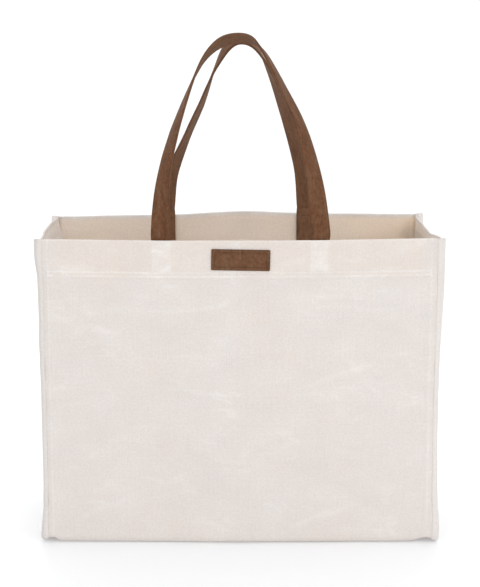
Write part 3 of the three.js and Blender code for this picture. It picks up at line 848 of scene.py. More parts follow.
def mesh_object(name, points, faces, uv, marks):
    """A smooth mesh object of quads, with its faces turned outwards, cloth coordinates and point marks."""
    used, faces = np.unique(faces, return_inverse=True)
    faces = faces.reshape(-1, 4)
    points, uv = points[used], uv[used]
    a, b, c, d = (points[faces[:, k]] for k in range(4))
    volume = (a * (np.cross(b, c) + np.cross(c, d))).sum()
    if volume < 0:
        faces = faces[:, ::-1]
    mesh = bpy.data.meshes.new(name)
    mesh.from_pydata(points.tolist(), [], faces.tolist())
    mesh.polygons.foreach_set("use_smooth", np.ones(len(faces), bool))
    layer = mesh.uv_layers.new(name=UV_NAME)
    layer.data.foreach_set("uv", uv[faces.reshape(-1)].astype(np.float32).reshape(-1))
    for key, value in marks.items():
        mark = mesh.attributes.new(key, "FLOAT", "POINT")
        mark.data.foreach_set("value", value[used].astype(np.float32))
    welded = bmesh.new()
    welded.from_mesh(mesh)
    bmesh.ops.remove_doubles(welded, verts=welded.verts, dist=WELD)
    welded.to_mesh(mesh)
    welded.free()
    mesh.update()
    return linked(name, mesh)


def both_faces(faces):
    """Rings, cloth coordinates and marks of a sheet with two faces, one ring a row."""
    marks = {
        # the inner face adds its painted light and shade to the scuffs; the press mark is painted shade
        "scuff": there_and_back(faces.scuff, faces.scuff + faces.pale),
        "press": there_and_back(faces.press, faces.press),
        "inside": there_and_back(0 * faces.lining, faces.lining),
        "warm": there_and_back(faces.warm, 0 * faces.warm),
    }
    return there_and_back(faces.outer, faces.inner), there_and_back(faces.uv, faces.uv), marks


def dress(piece, material, node=None):
    """Gives a piece its material and its body, and hides the solid that it stands for."""
    piece.data.materials.append(material)
    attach(piece, BODY)
    if node:
        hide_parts(node)


def stitch_run(path, normal, length, thread, start=0.0):
    """Rings of the stitches along a line on a surface: each is a short length of thread that comes up at one
    end and goes down at the other."""
    share, rise, girth = STITCH.T
    run = run_length(path)
    count = max(1, int((run[-1] - 2 * start) / length))
    first = start + (run[-1] - 2 * start - count * length) / 2 + length * (1 - STITCH_FILL) / 2
    place = first + length * (np.arange(count)[:, None] + STITCH_FILL * share)

    def along(values):
        return np.stack([np.interp(place, run, values[:, k]) for k in range(3)], -1)

    up = unit(along(normal))
    centre = along(path) + up * (thread * rise)[:, None]
    side = unit(np.cross(up, np.gradient(centre, axis=1)))
    angle = np.arange(THREAD_SIDES) * math.tau / THREAD_SIDES
    ring = np.cos(angle)[:, None] * side[:, :, None] + np.sin(angle)[:, None] * up[:, :, None]
    return centre[:, :, None] + ring * (thread / 2 * girth)[:, None, None]


def thread_object(name, runs, material):
    """One mesh of all the stitches in the given runs, each end of a stitch closed by two quads."""
    tubes = np.concatenate(runs)
    count, rings, sides = tubes.shape[:3]
    index = np.arange(tubes.size // 3).reshape(count, rings, sides)
    faces = [ring_quads(index)]
    for ring in (index[:, 0], index[:, -1, ::-1]):
        faces += [ring[:, quad] for quad in THREAD_ENDS]
    turn = np.broadcast_to(np.arange(sides) / sides, (count, rings, sides))
    along = np.broadcast_to(np.linspace(0, 1, rings)[:, None], (count, rings, sides))
    uv = np.stack([turn, along], -1).reshape(-1, 2)
    dress(mesh_object(name, tubes.reshape(-1, 3), np.concatenate(faces), uv, {}), material)


# Finishes

class Sock:
    """A shader socket that takes part in arithmetic: each operation adds a Math node."""

    def __init__(self, finish, socket):
        self.finish, self.socket = finish, socket

    def math(self, operation, first, second=0.0):
        return self.finish.node("ShaderNodeMath", {"operation": operation}, {0: first, 1: second})

    def __add__(self, other):
        return self.math("ADD", self, other)

    def __sub__(self, other):
        return self.math("SUBTRACT", self, other)

    def __rsub__(self, other):
        return self.math("SUBTRACT", other, self)

    def __mul__(self, other):
        return self.math("MULTIPLY", self, other)

    def __pow__(self, other):
        return self.math("POWER", self, other)

    def __abs__(self):
        return self.math("ABSOLUTE", self)

    def sine(self):
        return self.math("SINE", self)

    __radd__ = __add__
    __rmul__ = __mul__


class Finish:
    """A node material written as expressions."""

    def __init__(self, name):
        self.material = bpy.data.materials.new(name)
        self.material.use_nodes = True
        self.tree = self.material.node_tree
        self.tree.nodes.clear()

    def node(self, kind, settings=None, inputs=None, output=0):
        """Adds a node, sets it up, fills or links its inputs and gives one of its outputs, if it has any."""
        node = self.tree.nodes.new(kind)
        for key, value in (settings or {}).items():
            setattr(node, key, value)
        for key, value in (inputs or {}).items():
            if isinstance(value, Sock):
                self.tree.links.new(value.socket, node.inputs[key])
            else:
                node.inputs[key].default_value = value
        return Sock(self, node.outputs[output]) if node.outputs else None

    def cloth_place(self, scale_u, scale_v):
        """Cloth coordinates, stretched."""
        place = self.node("ShaderNodeUVMap", {"uv_map": UV_NAME})
        return self.node("ShaderNodeVectorMath", {"operation": "MULTIPLY"},
                         {0: place, 1: (scale_u, scale_v, 1.0)})

    def axes(self, scale):
        """The two cloth coordinates as numbers, stretched."""
        place = self.cloth_place(scale, scale)
        return [self.node("ShaderNodeSeparateXYZ", None, {0: place}, axis) for axis in (0, 1)]

    def noise(self, scale_u, scale_v, detail=2.0, roughness=0.5, distortion=0.0):
        """Noise from 0 to 1 over the cloth, with that many bumps a metre along its two coordinates."""
        return self.node("ShaderNodeTexNoise", {"noise_dimensions": "2D"},
                         {"Vector": self.cloth_place(scale_u, scale_v), "Scale": 1.0, "Detail": detail,
                          "Roughness": roughness, "Distortion": distortion})

    def mark(self, name):
        """A mark of the mesh's points."""
        return self.node("ShaderNodeAttribute", {"attribute_name": name}, None, "Fac")

    def step(self, value, low, high):
        """A soft step from 0 at low to 1 at high."""
        return self.node("ShaderNodeMapRange", {"interpolation_type": "SMOOTHSTEP"},
                         {"Value": value, "From Min": low, "From Max": high})

    def blend(self, share, first, second):
        """A colour between two colours."""
        return self.node("ShaderNodeMix", {"data_type": "RGBA"}, {0: share, 6: first, 7: second}, 2)

    def tint(self, colour, red, green, blue):
        """A colour with its red, green and blue multiplied."""
        factors = self.node("ShaderNodeCombineColor", None, {0: red, 1: green, 2: blue})
        return self.node("ShaderNodeMix", {"data_type": "RGBA", "blend_type": "MULTIPLY"},
                         {0: 1.0, 6: colour, 7: factors}, 2)

    def shade(self, colour, factor):
        """A colour made lighter or darker."""
        return self.tint(colour, factor, factor, factor)

    def bump(self, height, distance):
        """A normal with fine relief."""
        return self.node("ShaderNodeBump", None, {"Strength": 1.0, "Distance": distance, "Height": height})

    def surface(self, **sockets):
        """Ends the material with a Principled surface. Underscores in socket names stand for spaces."""
        inputs = {key.replace("_", " "): value for key, value in sockets.items()}
        shader = self.node("ShaderNodeBsdfPrincipled", None, inputs)
        self.node("ShaderNodeOutputMaterial", None, {"Surface": shader})
        return self.material


def rgba(colour):
    """A colour with its alpha."""
    return (*colour, 1.0)


def canvas_finish(name, colours, body_colour):
    """Heavy waxed canvas: a plain weave, slubs along the warp, a cloudy waxed finish and pale scuffs at the
    creases, with painted highlights, painted shade and painted warm light from the marks of the mesh.
    """
    finish = Finish(name)
    noise, step, mark = finish.noise, finish.step, finish.mark
    yarn = 0.00095
    warp, weft = finish.axes(math.pi / yarn)
    weave = abs(warp.sine() * weft.sine()) ** 0.7
    slub = noise(620, 16) - 0.5
    pick = noise(14, 480) - 0.5
    grain = noise(330, 330, detail=4.0, roughness=0.75) - 0.5
    # Cloudy wax, with fine pale lines in some places
    cloud = noise(17, 22, detail=5.0, roughness=0.65)
    wisp = noise(24, 62, detail=5.0, roughness=0.62, distortion=0.7)
    fleck = noise(210, 260, detail=3.0, roughness=0.6, distortion=0.3)
    patchy = step(noise(15, 21, detail=3.0), 0.34, 0.66)
    lines = step(wisp, 0.50, 0.74) * patchy + 0.5 * step(fleck, 0.56, 0.78) * patchy
    # Scuffs, painted highlights and painted lit patches above 0, painted shade below 0, by the marks of the
    # cloth;
    # rubbed is the pale of all that lies above 0, and the press mark is painted shade too
    crease = mark("scuff")
    rubbed = step(crease, 0.1, 1.0) * (0.50 + 0.6 * step(wisp, 0.35, 0.6))
    scuffed_and_highlit = lines * 0.34 + rubbed * 0.7 + 0.15 * step(cloud, 0.48, 0.72)
    sunk = step(crease, -0.1, -2.0) + step(crease, -2.0, -4.0)
    # cloudy tone, with the painted shade of the marks and of the press mark
    mottle_and_painted_shade = step(cloud, 0.50, 0.30) * 0.10 + sunk * 0.80 + mark("press") * 0.35
    colour = finish.blend(scuffed_and_highlit, rgba(body_colour), rgba(colours.scuff))
    # the lining colour adds painted warm bounce light on the inner faces
    colour = finish.blend(mark("inside"), colour, rgba(colours.lining))
    threads = 0.984 + 0.05 * slub + 0.03 * pick + 0.25 * grain
    colour = finish.shade(colour, threads * (1.0 - 0.2 * mottle_and_painted_shade))
    # Cool and warm clouds, warmer over the hem, where the warmth is painted for the light that the double
    # layer keeps from shining through
    cool = noise(13, 16, detail=4.0, roughness=0.65) - 0.5 - 0.35 * mark("warm")
    colour = finish.tint(colour, 1.0 - 0.03 * cool, 1.0 + 0.015 * cool, 1.0 + 0.07 * cool)
    return finish.surface(Base_Color=colour, Roughness=0.74 + 0.12 * scuffed_and_highlit - 0.05 * mottle_and_painted_shade,
                          Normal=finish.bump(0.8 * weave + 0.9 * slub + 0.5 * pick, distance=0.00012),
                          Specular_IOR_Level=0.25, Sheen_Weight=0.08, Sheen_Roughness=0.5)


def thread_finish(name, colour):
    """Twisted sewing thread."""
    finish = Finish(name)
    around, along = finish.axes(math.tau)
    twist = (around + along * 3.0).sine()
    return finish.surface(Base_Color=finish.shade(rgba(colour), 0.94 + 0.07 * twist),
                          Roughness=0.7 - 0.06 * twist, Normal=finish.bump(twist, distance=0.00005),
                          Specular_IOR_Level=0.3)


def leather_finish(name, colours, worn, burnish):
    """Brown leather: fine pores and wrinkles, cloudy dye, pale rubbed places and dark burnished edges. Worn
    is how far it is rubbed all over, and burnish how dark its edges are."""
    finish = Finish(name)
    noise, step = finish.noise, finish.step
    pores = finish.node("ShaderNodeTexVoronoi", {"voronoi_dimensions": "2D", "feature": "SMOOTH_F1"},
                        {"Vector": finish.cloth_place(1150, 950), "Scale": 1.0, "Smoothness": 0.4})
    wrinkle = noise(420, 250, detail=4.0, roughness=0.6, distortion=0.5)
    cloud = noise(70, 26, detail=4.0, roughness=0.6)
    streak = noise(260, 16, detail=3.0)
    blotch = noise(230, 170, detail=3.0, roughness=0.6)
    edge, flesh = finish.mark("edge"), finish.mark("flesh")
    rub = step(cloud, 0.46, 0.72) * 0.45 + step(streak, 0.52, 0.72) * 0.30
    rub = rub + step(blotch, 0.48, 0.68) * 0.38 + worn
    dark = edge * burnish + step(cloud, 0.45, 0.25) * 0.35 + step(blotch, 0.48, 0.28) * 0.30
    colour = finish.blend(rub, rgba(colours.leather), rgba(colours.leather_pale))
    colour = finish.blend(flesh * 0.55, colour, rgba(colours.leather_flesh))
    colour = finish.blend(dark, colour, rgba(colours.leather_dark))
    colour = finish.shade(colour, 0.75 + 0.42 * wrinkle + 0.12 * pores)
    return finish.surface(Base_Color=colour, Roughness=0.50 + 0.14 * wrinkle + 0.05 * flesh - 0.06 * edge,
                          Normal=finish.bump(pores * 0.7 + wrinkle, distance=0.00014),
                          Specular_IOR_Level=0.06)


def floor_finish(colour):
    """White light table: matt, with a faint sheen and a faint glow of its own."""
    return Finish("studio_floor").surface(
        Base_Color=rgba(colour), Roughness=0.35, Specular_IOR_Level=0.3,
        Emission_Color=rgba((1.0, 1.0, 1.0)), Emission_Strength=0.166)


def shared_finish(name, make, *values):
    """A finish made once and used by every piece of the same stuff."""
    return bpy.data.materials.get(name) or make(name, *values)


# Shape of the handles

def curve_points(points, steps):
    """Points of a uniform Catmull-Rom curve through the given points, and its direction at each."""
    points = np.asarray(points, float)
    padded = np.concatenate([[2 * points[0] - points[1]], points, [2 * points[-1] - points[-2]]])
    spans = len(points) - 1
    place = np.linspace(0, spans, spans * steps + 1)
    span = np.minimum(place.astype(int), spans - 1)
    t = (place - span)[:, None]
    p0, p1, p2, p3 = (padded[span + k] for k in range(4))
    a, b = (p2 - p0) / 2, (p3 - p1) / 2
    cubic, square = 2 * p1 - 2 * p2 + a + b, -3 * p1 + 3 * p2 - 2 * a - b
    return cubic * t**3 + square * t**2 + a * t + p1, 3 * cubic * t**2 + 2 * square * t + a


class StrapShape:
    """The line of a handle and the directions across it and through it."""

    SPAN_ROWS = 14                      # rows between two sections
    EDGE_ANGLES = (5, 30, 55, 80)       # points round an edge
    FLAT_POINTS = 7                     # points from an edge to the middle
    FLAT_START = 1.4                    # how many roundings from the edge the first of them lies
    CROWN = 0.00012                     # how far the middle stands over the edges
    EDGE_MARK = (0.0022, 0.0004)        # distances from the edge between which its burnish starts
    FLESH_UV = 0.1                      # shift of the cloth coordinates on the flesh side

    def __init__(self, bag, handle):
        self.leather = bag.leather
        facing = WALLS[handle.wall].facing
        ends = [self.end_sections(bag, handle.wall, end, sign) for end, sign in zip(handle.ends, (1, -1))]
        sections = [*ends[0], *handle.arch, *reversed(ends[1])]
        places = [(row.across, row.back, RIM + row.rise) for row in sections]
        self.centre, tangent = curve_points(places, self.SPAN_ROWS)
        turn = np.radians(curve_points([(row.turn,) for row in sections], self.SPAN_ROWS)[0])
        tangent = unit(tangent)
        inward = unit(np.cross(tangent, [0.0, facing, 0.0]) * -facing)
        toward = np.cross(inward, tangent) * -facing
        self.across = np.cos(turn) * inward + np.sin(turn) * toward
        self.normal = unit(np.cross(self.across, tangent))
        self.run = run_length(self.centre)
        self.grain = -facing            # side of the normal on which the grain lies

    def end_sections(self, bag, wall_name, across, sign):
        """Sections of one end: inside the bag, at the rim and at the first bend above it."""
        leather, facing = bag.leather, WALLS[wall_name].facing
        seat = 2 * bag.cloth.canvas + leather.strap_gap + leather.strap_thickness / 2
        half = leather.strap_width / 2
        slope = bag.wall_face(wall_name, across + half, RIM) - bag.wall_face(wall_name, across - half, RIM)
        turn = sign * facing * math.degrees(math.atan2(slope, leather.strap_width))

        def on_wall(rise, lean, turned):
            face = bag.wall_face(wall_name, across, RIM + min(rise, 0.0))
            return Section(across, face - facing * (seat + lean), rise, turned)

        return [on_wall(-leather.strap_anchor, 0.0, turn), on_wall(0.0, 0.0, turn),
                on_wall(STRAP_LIFT.rise, STRAP_LIFT.lean, STRAP_LIFT.turn)]

    def profile(self):
        """Half outline of the strap's section, from one edge to the other: places across and through."""
        half, thick = self.leather.strap_width / 2, self.leather.strap_thickness / 2
        rounding = self.leather.strap_rounding
        angle = np.radians(self.EDGE_ANGLES)
        corner = np.stack([np.cos(angle), np.sin(angle)], -1) * rounding + [half - rounding, thick - rounding]
        flat = np.linspace(half - rounding * self.FLAT_START, 0, self.FLAT_POINTS)
        crown = thick + self.CROWN * (1 - (flat / half) ** 2)
        right = np.concatenate([corner, np.stack([flat, crown], -1)])
        left = right[:-1][::-1] * [-1, 1]
        return np.concatenate([right, left])

    def at(self, rows, wide, thick):
        """Points of the strap at some rows, at places across and through it."""
        return (self.centre[rows][:, None] + self.across[rows][:, None] * wide[..., None]
                + self.normal[rows][:, None] * thick[..., None])

    def rings(self, reseed):
        """Rings of the strap with its cloth coordinates and marks."""
        profile = self.profile()
        rows = np.arange(len(self.run))
        wide = np.broadcast_to(profile[:, 0], (len(rows), len(profile)))
        run = np.broadcast_to(self.run[:, None], wide.shape)
        frayed = wide * (1 + ripple(run, 0 * wide, STRAP_FRAY, reseed))
        wave = ripple(run, wide, STRAP_WAVE, reseed)
        rings = there_and_back(*(self.at(rows, frayed, side * profile[:, 1] + wave) for side in (1, -1)))
        uv = np.stack([there_and_back(wide, wide + self.FLESH_UV), there_and_back(run, run)], -1)
        edge = smooth(*self.EDGE_MARK, self.leather.strap_width / 2 - np.abs(wide))
        sides = (0.0, 1.0) if self.grain > 0 else (1.0, 0.0)
        flesh = there_and_back(*(np.full(wide.shape, side) for side in sides))
        return rings, uv, {"edge": there_and_back(edge, edge), "flesh": flesh}


# Operators

class ToteOperator:
    """What every step of the build shares."""

    bl_options = {"REGISTER", "UNDO"}

    def setting(self, context):
        """The shape of the bag and its colours, from the sizes of the scene."""
        scene = context.scene
        return BagShape(scene.tote_cloth, scene.tote_leather), scene.tote_colours


class TOTE_OT_main_panel(ToteOperator, bpy.types.Operator):
    """Front, base and back of the bag in one length of waxed canvas"""

    bl_idname = "tote.main_panel"
    bl_label = "Main panel"

    def execute(self, context):
        bag, colours = self.setting(context)
        rows = bag.half_rows()
        front, back = (bag.panel_half(wall_name, rows) for wall_name in WALLS)
        length = front.uv[-1, 0, 1] + back.uv[-1, 0, 1]
        back = back._replace(uv=back.uv * [1, -1] + [0, length])
        strip = Faces(*(np.concatenate([one, other[:-1][::-1]]) for one, other in zip(front, back)))
        panel = solid("canvas_main_panel", *both_faces(strip))
        canvas = shared_finish("waxed_canvas", canvas_finish, colours, colours.canvas)
        dress(panel, canvas, "main_panel")
        width = 2 * (bag.cloth.seam_at_floor + bag.cloth.flange)
        float(length + 2 * bag.cloth.hem)
        return {"FINISHED"}


class TOTE_OT_gussets(ToteOperator, bpy.types.Operator):
    """Narrow sides of the bag, sewn in with their seam allowance outwards"""

    bl_idname = "tote.gussets"
    bl_label = "Gussets"

    def execute(self, context):
        bag, colours = self.setting(context)
        canvas = shared_finish("waxed_canvas", canvas_finish, colours, colours.canvas)
        width = WALLS["back"].plane - WALLS["front"].plane + 2 * bag.cloth.flange
        length = RIM + bag.cloth.hem + bag.cloth.flange
        for gusset in GUSSETS:
            faces = bag.gusset_faces(gusset, bag.half_rows())
            panel = solid(f"canvas_{gusset.node}", *both_faces(faces), fold_last=True)
            dress(panel, canvas, gusset.node)
        return {"FINISHED"}


class TapeSection:
    """Middle of the folded tape's section, as places along the flange and through it, and the outward
    direction at each."""

    SHARES = np.array([0.0, 0.06, 0.16, 0.28, 0.4, 0.7])    # places on the straight stretch, from the edge
    STITCH_POINT = 2                            # the one that the stitches lie on
    FOLD_POINTS = 11
    GROOVE = Ridge(0.0017, 0.0009, 0.00022)     # pressed in by the stitches, by distance from the edge
    EDGE_SINK, EDGE_RUN = 0.00055, 0.0016       # how far the edge is drawn in, and over what run

    def __init__(self, cloth):
        over = cloth.canvas + 2 * cloth.sewn_gap + cloth.tape / 2
        under = -cloth.canvas - cloth.sewn_gap - cloth.tape / 2
        radius, level = (over - under) / 2, (over + under) / 2
        end = cloth.tape_end - cloth.tape / 2 - radius
        from_edge = (end - cloth.tape_start) * self.SHARES
        straight = cloth.tape_start + from_edge
        pressed = ridge(from_edge, self.GROOVE) + self.EDGE_SINK * (1 - smooth(0, self.EDGE_RUN, from_edge))
        angle = np.linspace(math.pi / 2, -math.pi / 2, self.FOLD_POINTS)
        upper = np.stack([straight, over - pressed], -1)
        lower = np.stack([straight, under + pressed], -1)[::-1]
        fold = np.stack([end + radius * np.cos(angle), level + radius * np.sin(angle)], -1)
        self.middle = np.concatenate([upper, fold, lower])
        tangent = np.gradient(self.middle, axis=0)
        self.outward = unit(np.stack([-tangent[:, 1], tangent[:, 0]], -1))


class TOTE_OT_tapes(ToteOperator, bpy.types.Operator):
    """Folded tape over the raw edges of each side seam"""

    bl_idname = "tote.tapes"
    bl_label = "Seam tapes"

    TAPER = (0.2, 0.5)                          # share of the thickness at an edge and next to it
    # painted light along the tape's edges, lifting the shade at their step onto the flange
    EDGE_LIGHT = 0.3
    EDGE_REACH = 0.0012
    SOIL = Ridge(0.0028, 0.0032, 1.0)           # painted shade, by distance from the middle of the fold to the wall's side

    def execute(self, context):
        bag, colours = self.setting(context)
        finish = shared_finish("tape_cloth", canvas_finish, colours, colours.tape)
        for row in TAPES:
            faces = self.faces(bag, row)
            tape = solid(f"folded_{row.node}", *both_faces(faces))
            dress(tape, finish, row.node)
        return {"FINISHED"}

    def faces(self, bag, row):
        """Faces of one tape, from the front rim to the back rim."""
        section, seam = TapeSection(bag.cloth), bag.seam_line(row.side)
        thick = np.full(len(section.middle), bag.cloth.tape / 2)
        for k, share in enumerate(self.TAPER):
            thick[[k, -1 - k]] *= share
        run = run_length(seam.origin + seam.along * bag.cloth.flange)
        wander = ripple(run, 0 * run, TAPE_WANDER, row.side)[:, None]
        wave = ripple(run, 0 * run, TAPE_WAVE, row.side)[:, None]

        def face(sign):
            place = section.middle + section.outward * (sign * thick)[:, None]
            return on_seam(seam, place[:, 0] + wander, place[:, 1] + wave * section.outward[:, 1])

        across = np.broadcast_to(run_length(section.middle), (len(run), len(thick)))
        width = across[0, -1]
        # painted light along both edges of the tape
        scuff = self.EDGE_LIGHT * hump(np.minimum(across, width - across), self.EDGE_REACH)
        # painted shade on the fold of the tape, darker on the left, which faces away from the light
        soil = row.soil * ridge(across - width / 2, self.SOIL)
        uv = np.stack([across, np.broadcast_to(run[:, None], across.shape)], -1)
        plain = np.zeros_like(scuff)
        return Faces(face(1), face(-1), None, uv, scuff, soil, plain, plain, plain)


class TOTE_OT_stitching(ToteOperator, bpy.types.Operator):
    """Thread of the hem, the seam tapes and the ends of the handles"""

    bl_idname = "tote.stitching"
    bl_label = "Stitching"

    PANEL_CLEAR, GUSSET_CLEAR = 0.006, 0.007    # end of a hem row to the side seam
    TAPE_CLEAR = 0.002                          # end of a tape's row to the rim
    STRAP_CLEAR = 0.002                         # end of a strap's row to the strap's edge
    STRAP_STITCH = 0.9                          # length of a strap's stitches, against the others
    STRAP_POINTS = 12

    def execute(self, context):
        bag, colours = self.setting(context)
        thread = shared_finish("canvas_thread", thread_finish, colours.thread)
        thread_object("hem_stitching", self.hem_runs(bag), thread)
        thread_object("tape_stitching", self.tape_runs(bag), thread)
        on_leather, on_canvas = self.strap_runs(bag)
        thread_object("strap_stitching_outside", on_canvas, thread)
        tan = shared_finish("strap_thread", thread_finish, colours.strap_thread)
        thread_object("strap_stitching_inside", on_leather, tan)
        return {"FINISHED"}

    def rows_of(self, bag, faces, clear):
        """Stitches along both faces of each row, that far from the side seams."""
        runs = []
        for k, across in enumerate(np.abs(faces.uv[..., 0])):
            inside = across < across.max() - bag.cloth.flange - clear
            normal = faces.normal[k, inside]
            for face, sign in ((faces.outer, 1), (faces.inner, -1)):
                runs.append(stitch_run(face[k, inside], sign * normal, bag.cloth.stitch, bag.cloth.thread))
        return runs

    def hem_runs(self, bag):
        """Both rows of the hem, on the walls and on the gussets."""
        rows = bag.rows(RIM - np.array(HEM_LINES))
        runs = []
        for wall_name in WALLS:
            runs += self.rows_of(bag, bag.panel_half(wall_name, rows), self.PANEL_CLEAR)
        for gusset in GUSSETS:
            runs += self.rows_of(bag, bag.gusset_faces(gusset, rows), self.GUSSET_CLEAR)
        return runs

    def tape_runs(self, bag):
        """A row of stitches near the edge of each tape, on both of its faces."""
        cloth, section = bag.cloth, TapeSection(bag.cloth)
        surface = section.middle + section.outward * cloth.tape / 2
        runs = []
        for side in (-1, 1):
            seam = bag.seam_line(side)
            for point, sign in ((section.STITCH_POINT, 1), (-1 - section.STITCH_POINT, -1)):
                path = on_seam(seam, *surface[point])[:, 0]
                normal = sign * seam.through
                runs.append(stitch_run(path, normal, cloth.stitch, cloth.thread, self.TAPE_CLEAR))
        return runs

    def strap_runs(self, bag):
        """Rows of stitches across the ends of the handles, on the leather and outside on the hem."""
        leather, thread = bag.leather, bag.cloth.thread
        half = leather.strap_width / 2 - self.STRAP_CLEAR
        wide = np.linspace(-half, half, self.STRAP_POINTS)[None]
        length = bag.cloth.stitch * self.STRAP_STITCH
        on_leather, on_canvas = [], []
        for handle in HANDLES:
            strap = StrapShape(bag, handle)
            facing = WALLS[handle.wall].facing
            inside = np.full(wide.shape, leather.strap_thickness / 2 * -strap.grain)
            for depth in STRAP_LINES:
                low = leather.strap_anchor - depth
                for row in np.searchsorted(strap.run, (low, strap.run[-1] - low)):
                    path = strap.at([row], wide, inside)[0]
                    normal = np.broadcast_to(strap.normal[row] * -strap.grain, path.shape)
                    on_leather.append(stitch_run(path, normal, length, thread))
                for end in handle.ends:
                    across, up = end + wide, np.full(wide.shape, RIM - depth)
                    relief = bag.wall_relief(handle.wall, across, up).height
                    back = bag.wall_face(handle.wall, across, up) + facing * relief
                    path = np.stack([across, back, up], -1)[0]
                    normal = np.broadcast_to([0.0, facing, 0.0], path.shape)
                    on_canvas.append(stitch_run(path, normal, length, thread))
        return on_leather, on_canvas


class TOTE_OT_handles(ToteOperator, bpy.types.Operator):
    """Leather handles, sewn inside the hem"""

    bl_idname = "tote.handles"
    bl_label = "Handles"

    WORN, BURNISH = 0.0, 0.14
    RESEED = 10                         # step of the seed from one handle to the next

    def execute(self, context):
        bag, colours = self.setting(context)
        leather = shared_finish("strap_hide", leather_finish, colours, self.WORN, self.BURNISH)
        for k, handle in enumerate(HANDLES):
            strap = solid(f"leather_{handle.node}", *StrapShape(bag, handle).rings(k * self.RESEED))
            dress(strap, leather, handle.node)
        return {"FINISHED"}


class TOTE_OT_patch(ToteOperator, bpy.types.Operator):
    """Bare leather patch with a pressed border under the front rim"""

    bl_idname = "tote.patch"
    bl_label = "Patch"

    CORNER = 0.0018                     # radius of the corners
    BEVEL = 0.0008                      # rounding of the edge
    LEAST_INSET = 0.02                  # share of the bevel at which the very edge starts
    BORDER_WIDTH = 0.0007
    BORDER_DEPTH = 0.00045
    BORDER_DARK = 0.45
    EDGE_MARK = (0.0002, 0.0013)        # distances from the edge between which its burnish fades
    WORN, BURNISH = 0.2, 0.5
    # Grid lines from the edge: the distance that a stretch ends at and the step in it
    STRETCHES = ((0.0012, 0.0002), (0.0032, 0.0006), (0.0052, 0.0003))
    STEP = 0.0016                       # step past those stretches
    STITCH_LENGTH, THREAD = 0.0026, 0.00045
    STITCH_SINK = 0.0004                # how far the stitches lie in the border
    STITCH_POINTS = 30

    def execute(self, context):
        bag, colours = self.setting(context)
        leather, gap = bag.leather, bag.cloth.sewn_gap
        half_x, half_z = leather.patch_width / 2, leather.patch_height / 2
        x, z = self.lines(half_x)[None, :], self.lines(half_z)[:, None]
        inset = np.minimum(half_x - np.abs(x), half_z - np.abs(z))
        curl = np.sqrt(1 - (1 - np.clip(inset / self.BEVEL, self.LEAST_INSET, 1)) ** 2)
        border = hump(inset - leather.patch_border, self.BORDER_WIDTH)
        height = (leather.patch_thickness - self.BEVEL * (1 - curl) - self.BORDER_DEPTH * border
                  + ripple(x, z, PATCH_GRAIN) * curl)
        x, z = self.rounded(x, z, half_x, half_z)
        face, seat = (self.on_wall(bag, x, z, gap + proud) for proud in (height, 0 * height))
        rings = there_and_back(face, seat)
        edge = np.maximum(1 - smooth(*self.EDGE_MARK, inset), self.BORDER_DARK * border)
        marks = {"edge": there_and_back(edge, edge), "flesh": there_and_back(0 * edge, 0 * edge)}
        place = np.stack(np.broadcast_arrays(x, z), -1)
        patch = solid("leather_patch", rings, there_and_back(place, place), marks)
        finish = shared_finish("patch_hide", leather_finish, colours, self.WORN, self.BURNISH)
        dress(patch, finish, "front_patch")
        thread = shared_finish("patch_thread", thread_finish, colours.patch_thread)
        thread_object("patch_stitching", self.border_runs(bag), thread)
        return {"FINISHED"}

    def lines(self, half):
        """Grid lines across the patch, close together at its edge and at its border."""
        edge = graded(*self.STRETCHES, (half, self.STEP))
        return np.concatenate([edge - half, (half - edge[:-1])[::-1]])

    def rounded(self, x, z, half_x, half_z):
        """Places on the patch with its square corners drawn in to round ones."""
        corner = self.CORNER
        a = np.clip((np.abs(x) - half_x + corner) / corner, 0, 1)
        b = np.clip((np.abs(z) - half_z + corner) / corner, 0, 1)
        pull_x = corner * (a - a * np.sqrt(1 - b**2 / 2))
        pull_z = corner * (b - b * np.sqrt(1 - a**2 / 2))
        return x - np.sign(x) * pull_x, z - np.sign(z) * pull_z

    def on_wall(self, bag, x, z, proud):
        """Points that far proud of the front wall, at places on the tilted patch."""
        tilt = bag.leather.patch_tilt
        middle = (PATCH_LOW + PATCH_HIGH) / 2
        across = middle.x + x * math.cos(tilt) - z * math.sin(tilt)
        up = middle.z + x * math.sin(tilt) + z * math.cos(tilt)
        return np.stack(np.broadcast_arrays(across, bag.wall_face("front", across, up) - proud, up), -1)

    def border_runs(self, bag):
        """Stitches in the pressed border."""
        leather = bag.leather
        half_x = leather.patch_width / 2 - leather.patch_border
        half_z = leather.patch_height / 2 - leather.patch_border
        proud = bag.cloth.sewn_gap + leather.patch_thickness - self.STITCH_SINK
        corners = [(-half_x, -half_z), (half_x, -half_z), (half_x, half_z), (-half_x, half_z)]
        runs = []
        for start, end in zip(corners, corners[1:] + corners[:1]):
            x, z = np.linspace(start, end, self.STITCH_POINTS).T
            path = self.on_wall(bag, x, z, proud)
            normal = np.broadcast_to([0.0, -1.0, 0.0], path.shape)
            runs.append(stitch_run(path, normal, self.STITCH_LENGTH, self.THREAD))
        return runs


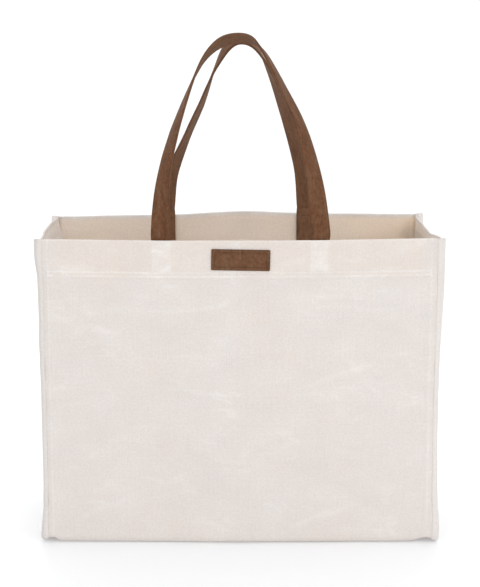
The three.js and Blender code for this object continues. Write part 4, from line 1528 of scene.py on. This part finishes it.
class TOTE_OT_stage(bpy.types.Operator):
    """Camera, floor and soft studio light"""

    bl_idname = "tote.stage"
    bl_label = "Stage"

    # Soft lights: the place, the size, the share of the key light's power and what they aim at
    SoftLight = namedtuple("SoftLight", "name place size share aim")
    LIGHTS = [
        SoftLight("key_light", (1.7, -2.3, 1.9), 2.2, 1.0, (0.0, 0.0, 0.25)),
        SoftLight("fill_light", (0.3, -1.2, 0.10), 1.2, 0.20, (0.0, 0.0, 0.08)),
        SoftLight("back_light", (0.0, 2.0, 1.8), 2.0, 1.0, (0.0, 0.0, 0.0)),
        SoftLight("top_light", (0.0, 0.3, 2.8), 2.4, 0.25, (0.0, 0.0, 0.2)),
    ]

    def execute(self, context):
        scene, stage = context.scene, context.scene.tote_stage
        self.floor(scene, stage)
        self.camera(scene, stage)
        self.surround(scene, stage)
        for row in self.LIGHTS:
            self.light(row, stage.key)
        return {"FINISHED"}

    def floor(self, scene, stage):
        """A flat floor at z = 0."""
        half = stage.floor_size / 2
        corners = [(-half, -half, 0), (half, -half, 0), (half, half, 0), (-half, half, 0)]
        mesh = bpy.data.meshes.new("floor")
        mesh.from_pydata(corners, [], [(0, 1, 2, 3)])
        mesh.materials.append(floor_finish(scene.tote_colours.floor))
        linked("floor", mesh)

    def camera(self, scene, stage):
        """The camera that sees the bag as the photo does."""
        lens = bpy.data.cameras.new("photo_camera")
        lens.lens = stage.lens
        camera = linked("photo_camera", lens)
        camera.location = stage.camera_place
        camera.rotation_euler = (math.pi / 2 - stage.camera_pitch, 0.0, -stage.camera_yaw)
        scene.camera = camera

    def surround(self, scene, stage):
        """Even white light from all round."""
        world = bpy.data.worlds.new("white_surround")
        world.use_nodes = True
        background = world.node_tree.nodes["Background"]
        background.inputs["Color"].default_value = (1.0, 1.0, 1.0, 1.0)
        background.inputs["Strength"].default_value = stage.sky
        scene.world = world
        scene.view_settings.view_transform = "Standard"

    def light(self, row, key):
        """One soft light, turned to what it aims at."""
        lamp = bpy.data.lights.new(row.name, "AREA")
        lamp.size, lamp.energy = row.size, key * row.share
        light = linked(row.name, lamp)
        light.location = row.place
        aim = np.array(row.aim) - np.array(row.place)
        turn = math.atan2(aim[1], aim[0]) - math.pi / 2
        light.rotation_euler = (math.acos(-aim[2] / np.linalg.norm(aim)), 0.0, turn)


STEPS = [TOTE_OT_stage, TOTE_OT_main_panel, TOTE_OT_gussets, TOTE_OT_tapes, TOTE_OT_handles, TOTE_OT_patch,
         TOTE_OT_stitching]
GROUPS = {"tote_cloth": ToteCloth, "tote_leather": ToteLeather, "tote_colours": ToteColours,
          "tote_stage": ToteStage}


class TOTE_PT_build(bpy.types.Panel):
    """Steps and sizes of the tote"""

    bl_idname = "TOTE_PT_build"
    bl_label = "Travel tote"
    bl_space_type = "VIEW_3D"
    bl_region_type = "UI"
    bl_category = "Tote"

    def draw(self, context):
        for step in STEPS:
            self.layout.operator(step.bl_idname)
        for name in GROUPS:
            box = self.layout.box()
            group = getattr(context.scene, name)
            for key in group.__annotations__:
                box.prop(group, key)


CLASSES = [*GROUPS.values(), *STEPS, TOTE_PT_build]


def register():
    for cls in CLASSES:
        bpy.utils.register_class(cls)
    for name, group in GROUPS.items():
        setattr(bpy.types.Scene, name, bpy.props.PointerProperty(type=group))


def unregister():
    for name in GROUPS:
        delattr(bpy.types.Scene, name)
    for cls in reversed(CLASSES):
        bpy.utils.unregister_class(cls)


def main():
    """Builds the tote step by step."""
    register()
    for step in STEPS:
        group, name = step.bl_idname.split(".")
        getattr(getattr(bpy.ops, group), name)()


if __name__ == "__main__":
    main()
